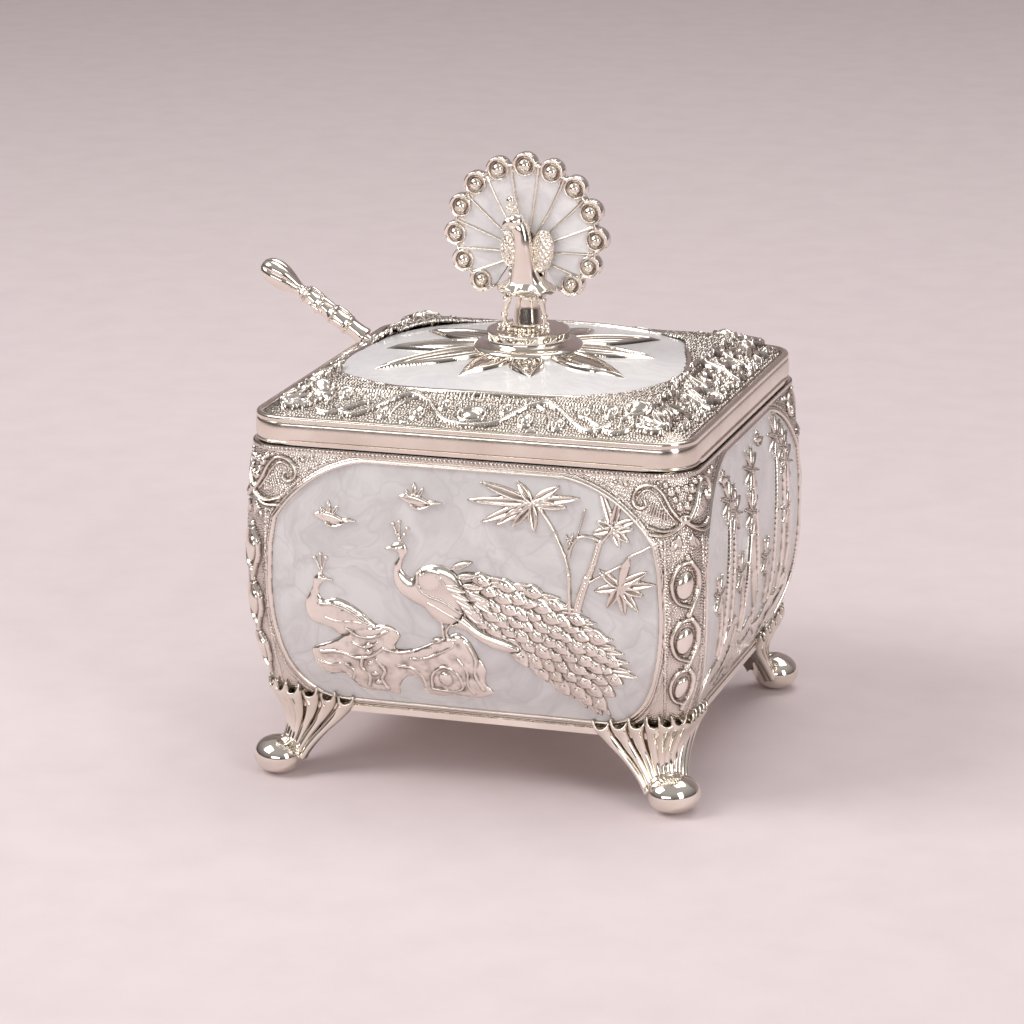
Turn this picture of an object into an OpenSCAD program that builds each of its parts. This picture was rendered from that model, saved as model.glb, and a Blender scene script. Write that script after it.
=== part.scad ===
// Square sugar bowl on four shell feet: enamelled silver walls, lift-off domed lid with a
// peacock knob, food liner and a spoon that leans out through a notch in the lid.
// Millimetres, +Z up. Origin: centre of the plane the four feet stand on. Front faces -Y.

/* [Body] */
// Width over the lid band, left to right
band_w = 110; // [90:1:140]
// Depth over the lid band, front to back
band_d = 100; // [80:1:130]
// Corner radius of the lid band
band_r = 9; // [6:0.5:14]
// Underside of the base plate above the floor
base_z = 17; // [14:0.5:24]
// Thickness of the base plate
base_t = 1.5; // [1:0.1:3]
// Top edge of the four walls
wall_top = 82.3; // [70:0.1:100]
// Thickness of a wall plate
wall_t = 1.6; // [1:0.1:3]
// Height at which the walls swell out most
belly_z = 54; // [45:1:65]
// Outward swell of the walls at the belly
belly = 2.2; // [0:0.1:4]
// Draw-in of the walls at the bottom edge, counted from the belly
tuck = 7.4; // [3:0.1:9]
// Draw-in of the walls at the top, counted from the belly
top_tuck = 2.9; // [0:0.1:4]

/* [Panels] */
// Depth of the enamel laid into a wall
enamel_t = 0.6; // [0.3:0.1:1]
// Height of the cast relief above a wall
relief_t = 0.8; // [0.4:0.1:1.4]
// Height of the granulated ground of a corner stile
ground_t = 0.5; // [0.2:0.1:0.8]
// Height of the bosses on a corner stile
boss_t = 1.2; // [0.8:0.1:1.8]
// Half width of the front window
window_half = 49.5; // [40:0.5:52]
// Lower edge of the windows
window_low = 19.2; // [18:0.1:24]
// Upper edge of the windows
window_high = 82.1; // [75:0.1:84]
// Width of the frame moulding round a window
frame_w = 1.4; // [0.8:0.1:2.5]

/* [Feet] */
// Distance of the foot screws from the centre, left to right
foot_x = 44; // [40:0.5:46]
// Distance of the foot screws from the centre, front to back
foot_y = 39; // [35:0.5:41]
// Outward reach of the scroll under a foot
scroll_u = 11; // [8:0.5:14]
// Radius of the scroll
scroll_r = 5; // [4:0.1:6]
// Width of a foot across the scroll
scroll_w = 9.5; // [7:0.5:12]
// Number of flutes on each side of a foot's middle flute
flute_pairs = 3; // [2:1:4]

/* [Lid] */
// Underside of the lid band
lid_z = 83.8; // [80:0.1:90]
// Top of the rounded rim of the lid band
rim_z = 90.6; // [88:0.1:94]
// Height of the flat crown under the enamel dome
crown_z = 94.3; // [92:0.1:97]
// Apex height of the enamel dome
dome_z = 98.5; // [96:0.1:102]
// Radius of the shallow dome
dome_r = 280; // [200:10:400]
// Half width of the enamel dome
dome_a = 43; // [36:0.5:44]
// Half depth of the enamel dome
dome_b = 37.5; // [32:0.5:39]
// Thickness of the dome enamel
dome_t = 0.9; // [0.5:0.1:1.5]
// Number of petals round the knob
petals = 10; // [6:1:12]
// Width of the spoon notch in the lid
notch_w = 7; // [5:0.5:9]

/* [Knob] */
// Height of the middle of the fan
fan_z = 126; // [115:1:135]
// Radius of the ring of fan beads
bead_ring = 17.8; // [14:0.1:20]
// Number of fan beads
beads = 13; // [9:1:15]
// Angle from one fan bead to the next
bead_step = 22.3; // [18:0.1:28]
// Thickness of the fan
fan_t = 2.4; // [1.6:0.1:3.5]
// Diameter of the flange below the knob
flange_d = 27; // [20:1:30]

/* [Spoon] */
// How far the spoon's tip stands left of the centre
tip_x = 81; // [75:1:90]
// Distance of the spoon behind the centre line
spoon_y = 28; // [20:1:30]
// Height of the spoon's tip
tip_z = 109; // [100:1:115]
// Angle of the spoon above the level
spoon_tilt = 33; // [30:1:40]
// Radius of the spoon's bowl at its rim
bowl_r = 11.5; // [9:0.5:12]

/* [View] */
// Sub-part to show

/* [Hidden] */
$fn = 96;
silver = [0.86, 0.80, 0.77];
bright = [0.91, 0.86, 0.83];
pearl = [0.84, 0.82, 0.83];
steel = [0.72, 0.72, 0.74];
wall_low = base_z + base_t;
core_x = band_w / 2 - band_r;
core_y = band_d / 2 - band_r;
rows = 12;
steps = [for (i = [0:rows]) wall_low + (wall_top - wall_low) * i / rows];
dome_c = dome_z - dome_r;
window_side = window_half - (band_w - band_d) / 2;
washer_z = dome_z - dome_t - 2.15;

// Offset of the wall's outer face from the lid band's outline at height z
function swell(z) = z > belly_z
    ? belly - top_tuck * pow((z - belly_z) / (lid_z - belly_z), 2)
    : belly - tuck * pow((belly_z - z) / (belly_z - wall_low), 2.6);

// Closed profile of a layer between two offsets from the wall's outer face
function layer(inner, outer) = concat(
    [for (z = steps) [band_r + swell(z) + outer, z]],
    [for (i = [rows:-1:0]) [band_r + swell(steps[i]) + inner, steps[i]]]);

// Right half of a window outline, drawn in by a margin, from the top downwards
function half_window(half, in) = concat(
    [for (a = [85:-8:37]) let (r = 32.5 - in)
        [half - 29.5 + r * cos(a), min(50 + r * sin(a), window_high - in)]],
    [[half - 2 - in, 67.5], [half - 0.6 - in, 60]],
    [for (a = [0:15:90]) [half - 17.5 + (17.5 - in) * pow(cos(a), 0.87),
        50 - (50 - window_low - in) * pow(sin(a), 0.87)]]);

function mirrored(points) = [for (i = [len(points) - 1:-1:0]) [-points[i][0], points[i][1]]];

function window(half, in) = concat(half_window(half, in), mirrored(half_window(half, in)));

// Wavy cushion outline of the enamel dome, grown by a margin
function cushion(grow) = [for (t = [0:5:355]) let (w = 1 + 0.012 * cos(8 * t))
    [(dome_a + grow) * w * sign(cos(t)) * pow(abs(cos(t)), 0.72),
        (dome_b + grow) * w * sign(sin(t)) * pow(abs(sin(t)), 0.72)]];

// One side of a layer: straight run plus half of each corner, front by default
module side_run(run, depth, points) {
    translate([0, -depth, 0])
    mirror([0, 1, 0])
    rotate([90, 0, 90])
    linear_extrude(2 * run, center = true)
    polygon(points);
    for (s = [0, 1])
        mirror([s, 0, 0])
        translate([run, -depth, 0])
        rotate([0, 0, -90])
        rotate_extrude(angle = 45)
        polygon(points);
}

module window_prism(run, half, in) {
    translate([0, -20, 0])
    rotate([90, 0, 0])
    linear_extrude(60)
    polygon(window(half, in));
}

module wall(run, depth, half) {
    difference() {
        side_run(run, depth, layer(-wall_t, 0));
        intersection() {
            side_run(run, depth, layer(-enamel_t, 1));
            window_prism(run, half, frame_w / 2);
        }
    }
}

module enamel(run, depth, half) {
    intersection() {
        side_run(run, depth, layer(-enamel_t, 0));
        window_prism(run, half, frame_w / 2);
    }
}

// Pointed leaf from the origin along +X
module leaf(len, wid) {
    r = (len * len + wid * wid) / (4 * wid);
    intersection() {
        translate([len / 2, r - wid / 2])
        circle(r);
        translate([len / 2, wid / 2 - r])
        circle(r);
    }
}

module stroke(x0, z0, x1, z1, wid) {
    len = norm([x1 - x0, z1 - z0]);
    translate([x0, z0])
    rotate(atan2(z1 - z0, x1 - x0))
    translate([0, -wid / 2])
    square([len, wid]);
}

module leaf_spray(x, z, first, count, len) {
    for (i = [0:count - 1])
        translate([x, z])
        rotate(first + i * 38)
        leaf(len * (1 - 0.12 * (i % 2)), 2);
}

module rock(x, wid, high) {
    for (i = [0:3])
        translate([x + wid * (i - 1.5) / 4, window_low + 4 + high * (i % 2) * 0.18])
        circle(high * 0.42);
    stroke(x - wid / 2, window_low + 3, x + wid / 2, window_low + 3, 5);
}

module bamboo(x, lean) {
    stroke(x, window_low + 3, x + lean * 0.4, 50, 1.7);
    stroke(x + lean * 0.4, 50, x + lean, 68, 1.4);
    stroke(x, 40, x - lean, 62, 1);
    leaf_spray(x + lean, 67, -70, 5, 8);
    leaf_spray(x - lean, 62, 60, 5, 7);
}

module small_bird(x, z) {
    translate([x, z])
    for (a = [20, 150, 265])
        rotate(a)
        leaf(6, 2.2);
}

module great_peacock(x, z) {
    translate([x, z])
    circle(5);
    translate([x - 4, z + 3])
    rotate(105)
    leaf(17, 4);
    translate([x - 8, z + 19])
    circle(2);
    translate([x - 8, z + 19])
    rotate(100)
    leaf(6, 2.4);
    translate([x - 2, z + 2])
    rotate(-34)
    leaf(58, 17);
    stroke(x + 1, z - 4, x - 1, z - 18, 1.2);
    stroke(x + 4, z - 5, x + 5, z - 17, 1.2);
}

module garden(half) {
    rock(-half * 0.35, 34, 18);
    bamboo(half * 0.45, 7);
    small_bird(-half * 0.25, 68);
}

module front_scene() {
    rock(-21, 34, 18);
    great_peacock(-8, 49);
    small_bird(-34, 70);
    small_bird(-11, 75);
    bamboo(27, 7);
    translate([-33, 46])
    rotate(-58)
    leaf(18, 8);
    translate([-36, 57])
    rotate(-75)
    leaf(12, 4);
}

// Frame moulding of a window and the relief drawn in children, standing on wall and enamel
module relief(run, depth, half) {
    intersection() {
        side_run(run, depth, layer(0, relief_t));
        union() {
            difference() {
                window_prism(run, half, 0);
                window_prism(run, half, frame_w);
            }
            intersection() {
                window_prism(run, half, frame_w);
                translate([0, -20, 0])
                rotate([90, 0, 0])
                linear_extrude(60)
                children();
            }
        }
    }
}

// Outer layer round the front right corner
module corner_run(inner, outer) {
    points = layer(inner, outer);
    translate([core_x, -core_y, 0])
    rotate([0, 0, -90])
    rotate_extrude(angle = 90)
    polygon(points);
    translate([core_x - 30, -core_y, 0])
    mirror([0, 1, 0])
    rotate([90, 0, 90])
    linear_extrude(30)
    polygon(points);
    translate([core_x, -core_y + 30, 0])
    rotate([90, 0, 0])
    linear_extrude(30)
    polygon(points);
}

module side_windows(in) {
    window_prism(core_x, window_half, in);
    rotate([0, 0, 90])
    window_prism(core_y, window_side, in);
}

// Corner stile: granulated ground between two windows, three bosses, bracket and volutes
module stile() {
    difference() {
        union() {
            corner_run(0, ground_t);
            intersection() {
                corner_run(ground_t, boss_t);
                translate([core_x, -core_y, 0])
                rotate([0, 0, -45])
                for (z = [33, 44, 57])
                    translate([0, 0, z])
                    rotate([0, 90, 0])
                    cylinder(h = 20, r = 2.6);
            }
            intersection() {
                corner_run(ground_t, boss_t);
                translate([core_x - 2, -core_y - 20, 69.6])
                cube([22, 22, 1.6]);
            }
            intersection() {
                corner_run(ground_t, relief_t);
                translate([core_x - 5, -20, 76])
                rotate([90, 0, 0])
                difference() {
                    cylinder(h = 60, r = 3.2);
                    cylinder(h = 60, r = 2.2);
                }
            }
        }
        side_windows(0);
    }
}

// Solid outline of the body with everything that stands on its walls
module body_envelope(grow) {
    points = concat([[0, base_z - 1], [band_r + swell(wall_low) + 1, base_z - 1]],
        [for (z = steps) [band_r + swell(z) + grow, z]], [[0, wall_top]]);
    corner_block(points, 30);
}

module corner_block(points, run) {
    translate([core_x, -core_y, 0])
    rotate([0, 0, -90])
    rotate_extrude(angle = 90)
    polygon(points);
    translate([core_x - run, -core_y, 0])
    mirror([0, 1, 0])
    rotate([90, 0, 90])
    linear_extrude(run)
    polygon(points);
    translate([core_x, -core_y + run, 0])
    rotate([90, 0, 0])
    linear_extrude(run)
    polygon(points);
    translate([core_x - run, -core_y, base_z - 1])
    cube([run, run, wall_top - base_z + 1]);
}

// Round rod with two different end radii between two points
module spar(from, to, r_from, r_to) {
    way = to - from;
    translate(from)
    rotate([0, acos(way[2] / norm(way)), atan2(way[1], way[0])])
    cylinder(h = norm(way), r1 = r_from, r2 = r_to);
}

module flutes() {
    for (i = [-flute_pairs:flute_pairs])
        let (k = abs(i) / flute_pairs)
        spar([8.5 - 2 * k, i * 1.6, 8.3 + k], [10 - 15.2 * pow(k, 1.6), i * 5.4, 26 - 5.5 * k], 1.4, 2.6);
}

// Foot for the front right corner: screw boss, leg, scroll and a fan of flutes
module foot() {
    difference() {
        union() {
            translate([foot_x, -foot_y, 0])
            rotate([0, 0, -45]) {
                translate([0, 0, 10])
                cylinder(h = base_z - 10, r = 4.5);
                translate([0, scroll_w / 2, 0])
                rotate([90, 0, 0])
                linear_extrude(scroll_w)
                polygon([[-3, base_z], [6, base_z], [7, 13], [8.5, 9.4], [11, 9.4], [11, 6],
                    [8, 6], [6, 4.8], [4, 7], [2, 11], [-3, 13]]);
                translate([scroll_u, scroll_w / 2, scroll_r - 0.15])
                rotate([90, 0, 0])
                rotate_extrude()
                polygon([[0, -1.2], [scroll_r - 2.6, -1], [scroll_r - 0.8, 0.2], [scroll_r, 2.4],
                    [scroll_r, scroll_w - 2.4], [scroll_r - 0.8, scroll_w - 0.2],
                    [scroll_r - 2.6, scroll_w + 1], [0, scroll_w + 1.2]]);
                flutes();
            }
        }
        body_envelope(relief_t + 0.1);
        translate([0, -60, base_z])
        cube([foot_x, 60, 40]);
        translate([foot_x, -foot_y, 10])
        cylinder(h = 20, r = 1.2);
        translate([0, -100, -10])
        cube([100, 100, 10]);
    }
}

module rounded_plate(half_x, half_y, r, h) {
    linear_extrude(h)
    rounded_outline(half_x, half_y, r);
}

module rounded_outline(half_x, half_y, r) {
    square([2 * half_x, 2 * (half_y - r)], center = true);
    square([2 * (half_x - r), 2 * half_y], center = true);
    for (x = [r - half_x, half_x - r], y = [r - half_y, half_y - r])
        translate([x, y])
        circle(r);
}

module rounded_ring(half_x, half_y, r, w, h) {
    difference() {
        rounded_plate(half_x, half_y, r, h);
        translate([0, 0, -1])
        rounded_plate(half_x - w, half_y - w, max(r - w, 1), h + 2);
    }
}

// Solid with the lid's outline whose height follows a list of [distance from edge, height]
module hipped(rise, low) {
    far = rise[len(rise) - 1][0];
    near = [for (p = rise) if (p[0] <= band_r) p];
    at_core = lookup(band_r, rise);
    ring = concat([[band_r - near[0][0], low]], [for (p = near) [band_r - p[0], p[1]]],
        [[0, at_core], [0, low]]);
    for (a = [0, 180])
        rotate([0, 0, a])
        for (side = [[core_x, core_y, 0], [core_y, core_x, 90]])
            rotate([0, 0, side[2]])
            translate([0, -side[1], 0])
            mirror([0, 1, 0])
            rotate([90, 0, 90])
            linear_extrude(2 * side[0], center = true)
            polygon(ring);
    for (x = [0, 1], y = [0, 1])
        mirror([x, 0, 0])
        mirror([0, y, 0])
        translate([core_x, -core_y, 0])
        rotate([0, 0, -90])
        rotate_extrude(angle = 90)
        polygon(ring);
    intersection() {
        roof(core_y, 2 * core_x, rise, low, at_core);
        rotate([0, 0, 90])
        roof(core_x, 2 * core_y, rise, low, at_core);
    }
}

module roof(half, run, rise, low, at_core) {
    up = [for (p = rise) if (p[0] > band_r) [half + band_r - p[0], p[1]]];
    right = concat([[half, low], [half, at_core]], [for (p = up) if (p[0] > 1) p]);
    left = [for (i = [len(right) - 1:-1:0]) [-right[i][0], right[i][1]]];
    rotate([90, 0, 90])
    linear_extrude(run, center = true)
    polygon(concat(right, left));
}

module dome_ball(drop) {
    translate([0, 0, dome_c - drop])
    sphere(dome_r, $fn = 192);
}

module spoon_notch(depth) {
    translate([-band_w / 2 - 3, spoon_y - notch_w / 2, lid_z - 10])
    cube([depth + 3 - notch_w / 2, notch_w, 30]);
    translate([-band_w / 2 + depth - notch_w / 2, spoon_y, lid_z - 10])
    cylinder(h = 30, d = notch_w);
}

module along_spoon() {
    translate([-tip_x, spoon_y, tip_z])
    rotate([0, spoon_tilt, 0])
    children();
}

module wall_front() color(silver) wall(core_x, core_y, window_half);

module wall_right() color(silver) rotate([0, 0, 90]) wall(core_y, core_x, window_side);

module wall_back() color(silver) rotate([0, 0, 180]) wall(core_x, core_y, window_half);

module wall_left() color(silver) rotate([0, 0, 270]) wall(core_y, core_x, window_side);

module enamel_front() color(pearl) enamel(core_x, core_y, window_half);

module enamel_right() color(pearl) rotate([0, 0, 90]) enamel(core_y, core_x, window_side);

module enamel_back() color(pearl) rotate([0, 0, 180]) enamel(core_x, core_y, window_half);

module enamel_left() color(pearl) rotate([0, 0, 270]) enamel(core_y, core_x, window_side);

module relief_front() color(bright) relief(core_x, core_y, window_half) front_scene();

module relief_right() color(bright) rotate([0, 0, 90])
    relief(core_y, core_x, window_side) garden(core_y);

module relief_back() color(bright) rotate([0, 0, 180])
    relief(core_x, core_y, window_half) garden(core_x);

module relief_left() color(bright) rotate([0, 0, 270])
    relief(core_y, core_x, window_side) garden(core_y);

module stile_front_right() color(silver) stile();

module stile_front_left() color(silver) mirror([1, 0, 0]) stile();

module stile_back_right() color(silver) mirror([0, 1, 0]) stile();

module stile_back_left() color(silver) mirror([1, 0, 0]) mirror([0, 1, 0]) stile();

module rim_moulding() color(bright)
    translate([0, 0, wall_top])
    rounded_ring(band_w / 2 + 0.3, band_d / 2 + 0.3, band_r + 0.3, 1.9, 1.2);

module liner() color(steel) {
    low = wall_low + 1.8;
    difference() {
        translate([0, 0, low])
        rounded_plate(core_x + 1, core_y + 1, 6, wall_top - low);
        translate([0, 0, low + 1])
        rounded_plate(core_x, core_y, 5, wall_top);
    }
    translate([0, 0, wall_top])
    rounded_ring(band_w / 2 - 1.6, band_d / 2 - 1.6, band_r - 1.6, 7.4, 1);
}

module base_plate() color(silver)
    difference() {
        edge = swell(wall_low) + 0.9;
        translate([0, 0, base_z])
        rounded_plate(band_w / 2 + edge, band_d / 2 + edge, band_r + edge, base_t);
        for (x = [-foot_x, foot_x], y = [-foot_y, foot_y])
            translate([x, y, base_z - 1])
            cylinder(h = base_t + 2, r = 1.2);
    }

module foot_screws() color(steel)
    for (x = [-foot_x, foot_x], y = [-foot_y, foot_y])
        translate([x, y, 0]) {
            translate([0, 0, 10])
            cylinder(h = wall_low - 10, r = 1.2);
            translate([0, 0, wall_low])
            cylinder(h = 1.4, r = 2.3);
        }

module foot_front_right() color(bright) foot();

module foot_front_left() color(bright) mirror([1, 0, 0]) foot();

module foot_back_right() color(bright) mirror([0, 1, 0]) foot();

module foot_back_left() color(bright) mirror([1, 0, 0]) mirror([0, 1, 0]) foot();

module lid_band() color(bright)
    difference() {
        profile = [[0.6, lid_z], [0.1, lid_z + 0.5], [0, lid_z + 1.2], [0, rim_z - 1.4],
            [0.2, rim_z - 0.6], [0.7, rim_z - 0.1], [1.2, rim_z], [1.8, rim_z - 0.2],
            [2.2, rim_z - 0.8], [2.2, lid_z + 5], [1.6, lid_z + 4.6], [1.6, lid_z]];
        points = [for (p = profile) [band_r - p[0], p[1]]];
        union() {
            for (a = [0, 90, 180, 270])
                rotate([0, 0, a])
                side_run(a % 180 == 0 ? core_x : core_y, a % 180 == 0 ? core_y : core_x, points);
            translate([0, 0, lid_z])
            rounded_ring(band_w / 2 - 1.6, band_d / 2 - 1.6, band_r - 1.6, 8.9, 1);
            translate([0, 0, lid_z - 3.2])
            rounded_ring(band_w / 2 - 9.5, band_d / 2 - 9.5, 5, 1, 3.2);
        }
        spoon_notch(12);
    }

module lid_top() color(silver)
    difference() {
        union() {
            hipped([[2.2, rim_z - 0.7], [3, rim_z - 0.5], [12, crown_z], [90, crown_z]],
                lid_z + 5);
            intersection() {
                linear_extrude(200)
                polygon(cushion(0));
                dome_ball(dome_t);
                translate([-50, -50, crown_z - 0.5])
                cube([100, 100, 10]);
            }
        }
        translate([0, 0, -1.2])
        hipped([[3.4, rim_z - 0.8], [12.4, crown_z], [90, crown_z]], 0);
        intersection() {
            translate([0, 0, 80])
            linear_extrude(60)
            polygon(cushion(-1.2));
            dome_ball(dome_t + 1.2);
        }
        difference() {
            translate([0, 0, 80])
            linear_extrude(60)
            polygon(cushion(0));
            dome_ball(dome_t);
            translate([0, 0, 70])
            linear_extrude(crown_z - 71)
            square(120, center = true);
        }
        spoon_notch(9);
        translate([0, 0, 80])
        cylinder(h = 40, r = 1.5);
    }

module lid_enamel() color(pearl)
    difference() {
        intersection() {
            translate([0, 0, 80])
            linear_extrude(60)
            polygon(cushion(0));
            dome_ball(0);
        }
        dome_ball(dome_t);
        translate([0, 0, 80])
        cylinder(h = 40, r = 1.5);
    }

// Vine of rings and beads on the frieze between the rim and the dome
module lid_scroll() color(bright)
    intersection() {
        difference() {
            hipped([[2.6, rim_z + 0.3], [12, crown_z + 0.8], [90, crown_z + 0.8]], lid_z + 6);
            hipped([[2.2, rim_z - 0.7], [3, rim_z - 0.5], [12, crown_z], [90, crown_z]], 0);
        }
        translate([0, 0, 80])
        linear_extrude(40)
        difference() {
            union() {
                for (side = [0, 1]) {
                    mirror([0, side])
                    for (i = [-4:4])
                        translate([i * 9.4, 6.5 - band_d / 2 + (i % 2) * 1.2])
                        vine_unit();
                    mirror([side, 0])
                    for (i = [-3:3])
                        translate([band_w / 2 - 6.5, i * 9.4])
                        vine_unit();
                }
                difference() {
                    polygon(cushion(1.2));
                    polygon(cushion(0));
                }
            }
            translate([-band_w / 2, spoon_y])
            square([20, notch_w + 1.5], center = true);
        }
    }

module vine_unit() {
    difference() {
        circle(2.6);
        circle(1.8);
    }
    circle(0.9);
    rotate(40)
    translate([2.6, 0])
    leaf(4.5, 1.8);
}

module lid_petals() color(bright)
    difference() {
        intersection() {
            rotate(180 / petals)
            dome_ball(-0.9);
            translate([0, 0, 80])
            linear_extrude(40)
            for (i = [0:petals - 1])
                rotate(i * 360 / petals)
                translate([9, 0])
                leaf(i % 5 == 0 ? 27 : 20, 8.5);
        }
        rotate(180 / petals)
        dome_ball(0);
        cylinder(h = 200, d = flange_d);
    }

module knob_collar() color(bright)
    difference() {
        rotate_extrude()
        polygon([[1.5, 90], [flange_d / 2, 90], [flange_d / 2, 99.2], [12.6, 100.1],
            [10.4, 100.4], [10, 101], [10, 102.7], [9.4, 103.3], [1.5, 103.3]]);
        dome_ball(0);
    }

module knob_pedestal() color(bright)
    difference() {
        union() {
            translate([0, 0, 103.3])
            cylinder(h = 9, r1 = 4.6, r2 = 2.6);
            translate([0, 0, 112.3])
            cylinder(h = 1.6, r = 5.3);
        }
        translate([0, 0, 100])
        cylinder(h = 9, r = 1.5);
    }

// Knob bird standing in front of its fan, feet on the collar
module peacock() color(bright)
    difference() {
        union() {
            translate([0.5, -5.2, 114])
            rotate_extrude()
            polygon([[0, 0], [2.6, 0.4], [4.4, 3], [4.8, 7], [3.8, 11.5], [2.2, 15], [0, 15]]);
            spar([0, -5.2, 125], [-2, -5.6, 132], 2.4, 1.5);
            translate([-2.4, -5.8, 132.4])
            sphere(2.2);
            spar([-3.4, -6, 132.4], [-6.8, -6.6, 131.4], 1.3, 0.3);
            for (a = [-25, 0, 25])
                spar([-2.6, -5.8, 133.5], [-3.6 + a / 12, -5.8, 137.4], 0.6, 0.9);
            for (s = [-1, 1])
                translate([0.5 + s * 4.6, -5.2, 122.5])
                rotate([90, 0, 0])
                linear_extrude(2.4, center = true)
                rotate(-90 + s * 20)
                translate([-6, 0])
                leaf(13, 5.5);
            for (s = [-1, 1]) {
                spar([s * 6.6, -3.6, 103.3], [s * 3.6, -6.2, 116], 1, 1.4);
                for (a = [-35, 0, 35])
                    spar([s * 6.6, -3.6, 104.2], [s * 6.6 + a / 16, -7.4, 103.9], 0.9, 0.6);
            }
        }
        translate([0, 0, 112.3])
        cylinder(h = 1.6, r = 5.3);
        translate([-30, -fan_t / 2, 100])
        cube([60, 20, 60]);
        translate([-10, -20, 93.3])
        cube([20, 40, 10]);
        translate([0, 0, 103.3])
        cylinder(h = 9, r1 = 4.6, r2 = 2.6);
    }

module fan_sector(r) {
    difference() {
        circle(r);
        polygon([[0, 0], [-40, -38], [-40, -80], [40, -80], [40, -38]]);
    }
}

module fan_cells() {
    difference() {
        fan_sector(14);
        circle(4.6);
        for (i = [0:beads])
            rotate(90 + (i - beads / 2) * bead_step)
            translate([0, -0.5])
            square([20, 1]);
    }
}

module fan_frame() color(bright)
    difference() {
        translate([0, 0, fan_z])
        rotate([90, 0, 0])
        union() {
            linear_extrude(fan_t, center = true)
            fan_sector(18.6);
            linear_extrude(fan_t, center = true)
            for (i = [0:beads - 1])
                rotate(90 + (i - (beads - 1) / 2) * bead_step)
                translate([bead_ring, 0])
                circle(3.1);
            translate([0, -6.9, 0])
            linear_extrude(fan_t, center = true)
            square([7, 10.4], center = true);
        }
        for (s = [0, 1])
            mirror([0, s, 0])
            translate([0, -fan_t / 2 + 0.5, fan_z])
            rotate([90, 0, 0])
            linear_extrude(3)
            fan_cells();
        translate([0, 0, 105])
        cylinder(h = 8.9, r = 5.3);
    }

module fan_enamel() color(pearl)
    for (s = [0, 1])
        mirror([0, s, 0])
        translate([0, -fan_t / 2 + 0.5, fan_z])
        rotate([90, 0, 0])
        linear_extrude(0.4)
        fan_cells();

module fan_beads() color(bright)
    for (s = [0, 1])
        mirror([0, s, 0])
        for (i = [0:beads - 1])
            translate([0, 0, fan_z])
            rotate([0, (i - (beads - 1) / 2) * bead_step, 0])
            translate([0, -fan_t / 2, bead_ring])
            rotate([90, 0, 0])
            difference() {
                translate([0, 0, -0.9])
                sphere(2.2);
                translate([-3, -3, -6])
                cube([6, 6, 6]);
            }

module knob_screw() color(steel)
    translate([0, 0, washer_z - 2]) {
        cylinder(h = 15.4, r = 1.5);
        cylinder(h = 2, r = 3);
    }

module knob_washer() color(steel)
    translate([0, 0, washer_z])
    difference() {
        cylinder(h = 0.9, r = 5);
        translate([0, 0, -1])
        cylinder(h = 3, r = 1.5);
    }

module spoon_bowl() color(bright) along_spoon()
    translate([127, 0, 0])
    difference() {
        translate([0, 0, 10])
        sphere(norm([bowl_r, 10]) + 0.5);
        translate([0, 0, 10])
        sphere(norm([bowl_r, 10]) - 0.5);
        translate([-30, -30, 0])
        cube([60, 60, 60]);
    }

module spoon_stem() color(bright) along_spoon()
    difference() {
        translate([28, 0, 0])
        rotate([0, 90, 0])
        cylinder(h = 88.5, r1 = 1.2, r2 = 1.6);
        translate([127, 0, 10])
        sphere(norm([bowl_r, 10]) + 0.5);
    }

module spoon_handle() color(bright) along_spoon()
    translate([13, 0, 0])
    rotate([0, 90, 0])
    rotate_extrude()
    polygon([[0, 0], [1.5, 0], [2.2, 1], [1.5, 2], [1.5, 6.5], [2.2, 7.5], [1.5, 8.5],
        [1.4, 13.5], [1.2, 15], [0, 15]]);

module spoon_finial() color(bright) along_spoon()
    rotate([0, 90, 0])
    rotate_extrude()
    polygon([[0, 0], [1.2, 0.8], [2.6, 3], [3.4, 6], [3.5, 8.5], [2.8, 11], [1.5, 13], [0, 13]]);

wall_front();
wall_right();
wall_back();
wall_left();
enamel_front();
enamel_right();
enamel_back();
enamel_left();
relief_front();
relief_right();
relief_back();
relief_left();
stile_front_right();
stile_front_left();
stile_back_right();
stile_back_left();
rim_moulding();
liner();
base_plate();
foot_screws();
foot_front_right();
foot_front_left();
foot_back_right();
foot_back_left();
lid_band();
lid_top();
lid_enamel();
lid_scroll();
lid_petals();
knob_collar();
knob_pedestal();
peacock();
fan_frame();
fan_enamel();
fan_beads();
knob_screw();
knob_washer();
spoon_bowl();
spoon_stem();
spoon_handle();
spoon_finial();
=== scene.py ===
import math

import bpy
import numpy as np
from mathutils import Matrix, Vector


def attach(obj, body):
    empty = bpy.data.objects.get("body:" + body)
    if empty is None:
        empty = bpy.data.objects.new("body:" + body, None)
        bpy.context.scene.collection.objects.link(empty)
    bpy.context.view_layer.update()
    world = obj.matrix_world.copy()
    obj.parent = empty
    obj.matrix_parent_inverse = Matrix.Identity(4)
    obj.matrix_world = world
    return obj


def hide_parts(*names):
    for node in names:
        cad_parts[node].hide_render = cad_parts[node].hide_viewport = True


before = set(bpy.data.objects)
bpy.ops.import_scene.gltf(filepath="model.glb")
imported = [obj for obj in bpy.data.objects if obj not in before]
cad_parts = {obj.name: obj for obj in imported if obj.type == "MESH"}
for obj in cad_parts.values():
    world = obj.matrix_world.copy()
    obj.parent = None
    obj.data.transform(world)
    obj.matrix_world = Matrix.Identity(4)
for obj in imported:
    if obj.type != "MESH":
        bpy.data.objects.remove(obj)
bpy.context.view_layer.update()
MM = 0.001
RNG = np.random.default_rng(11)

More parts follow.
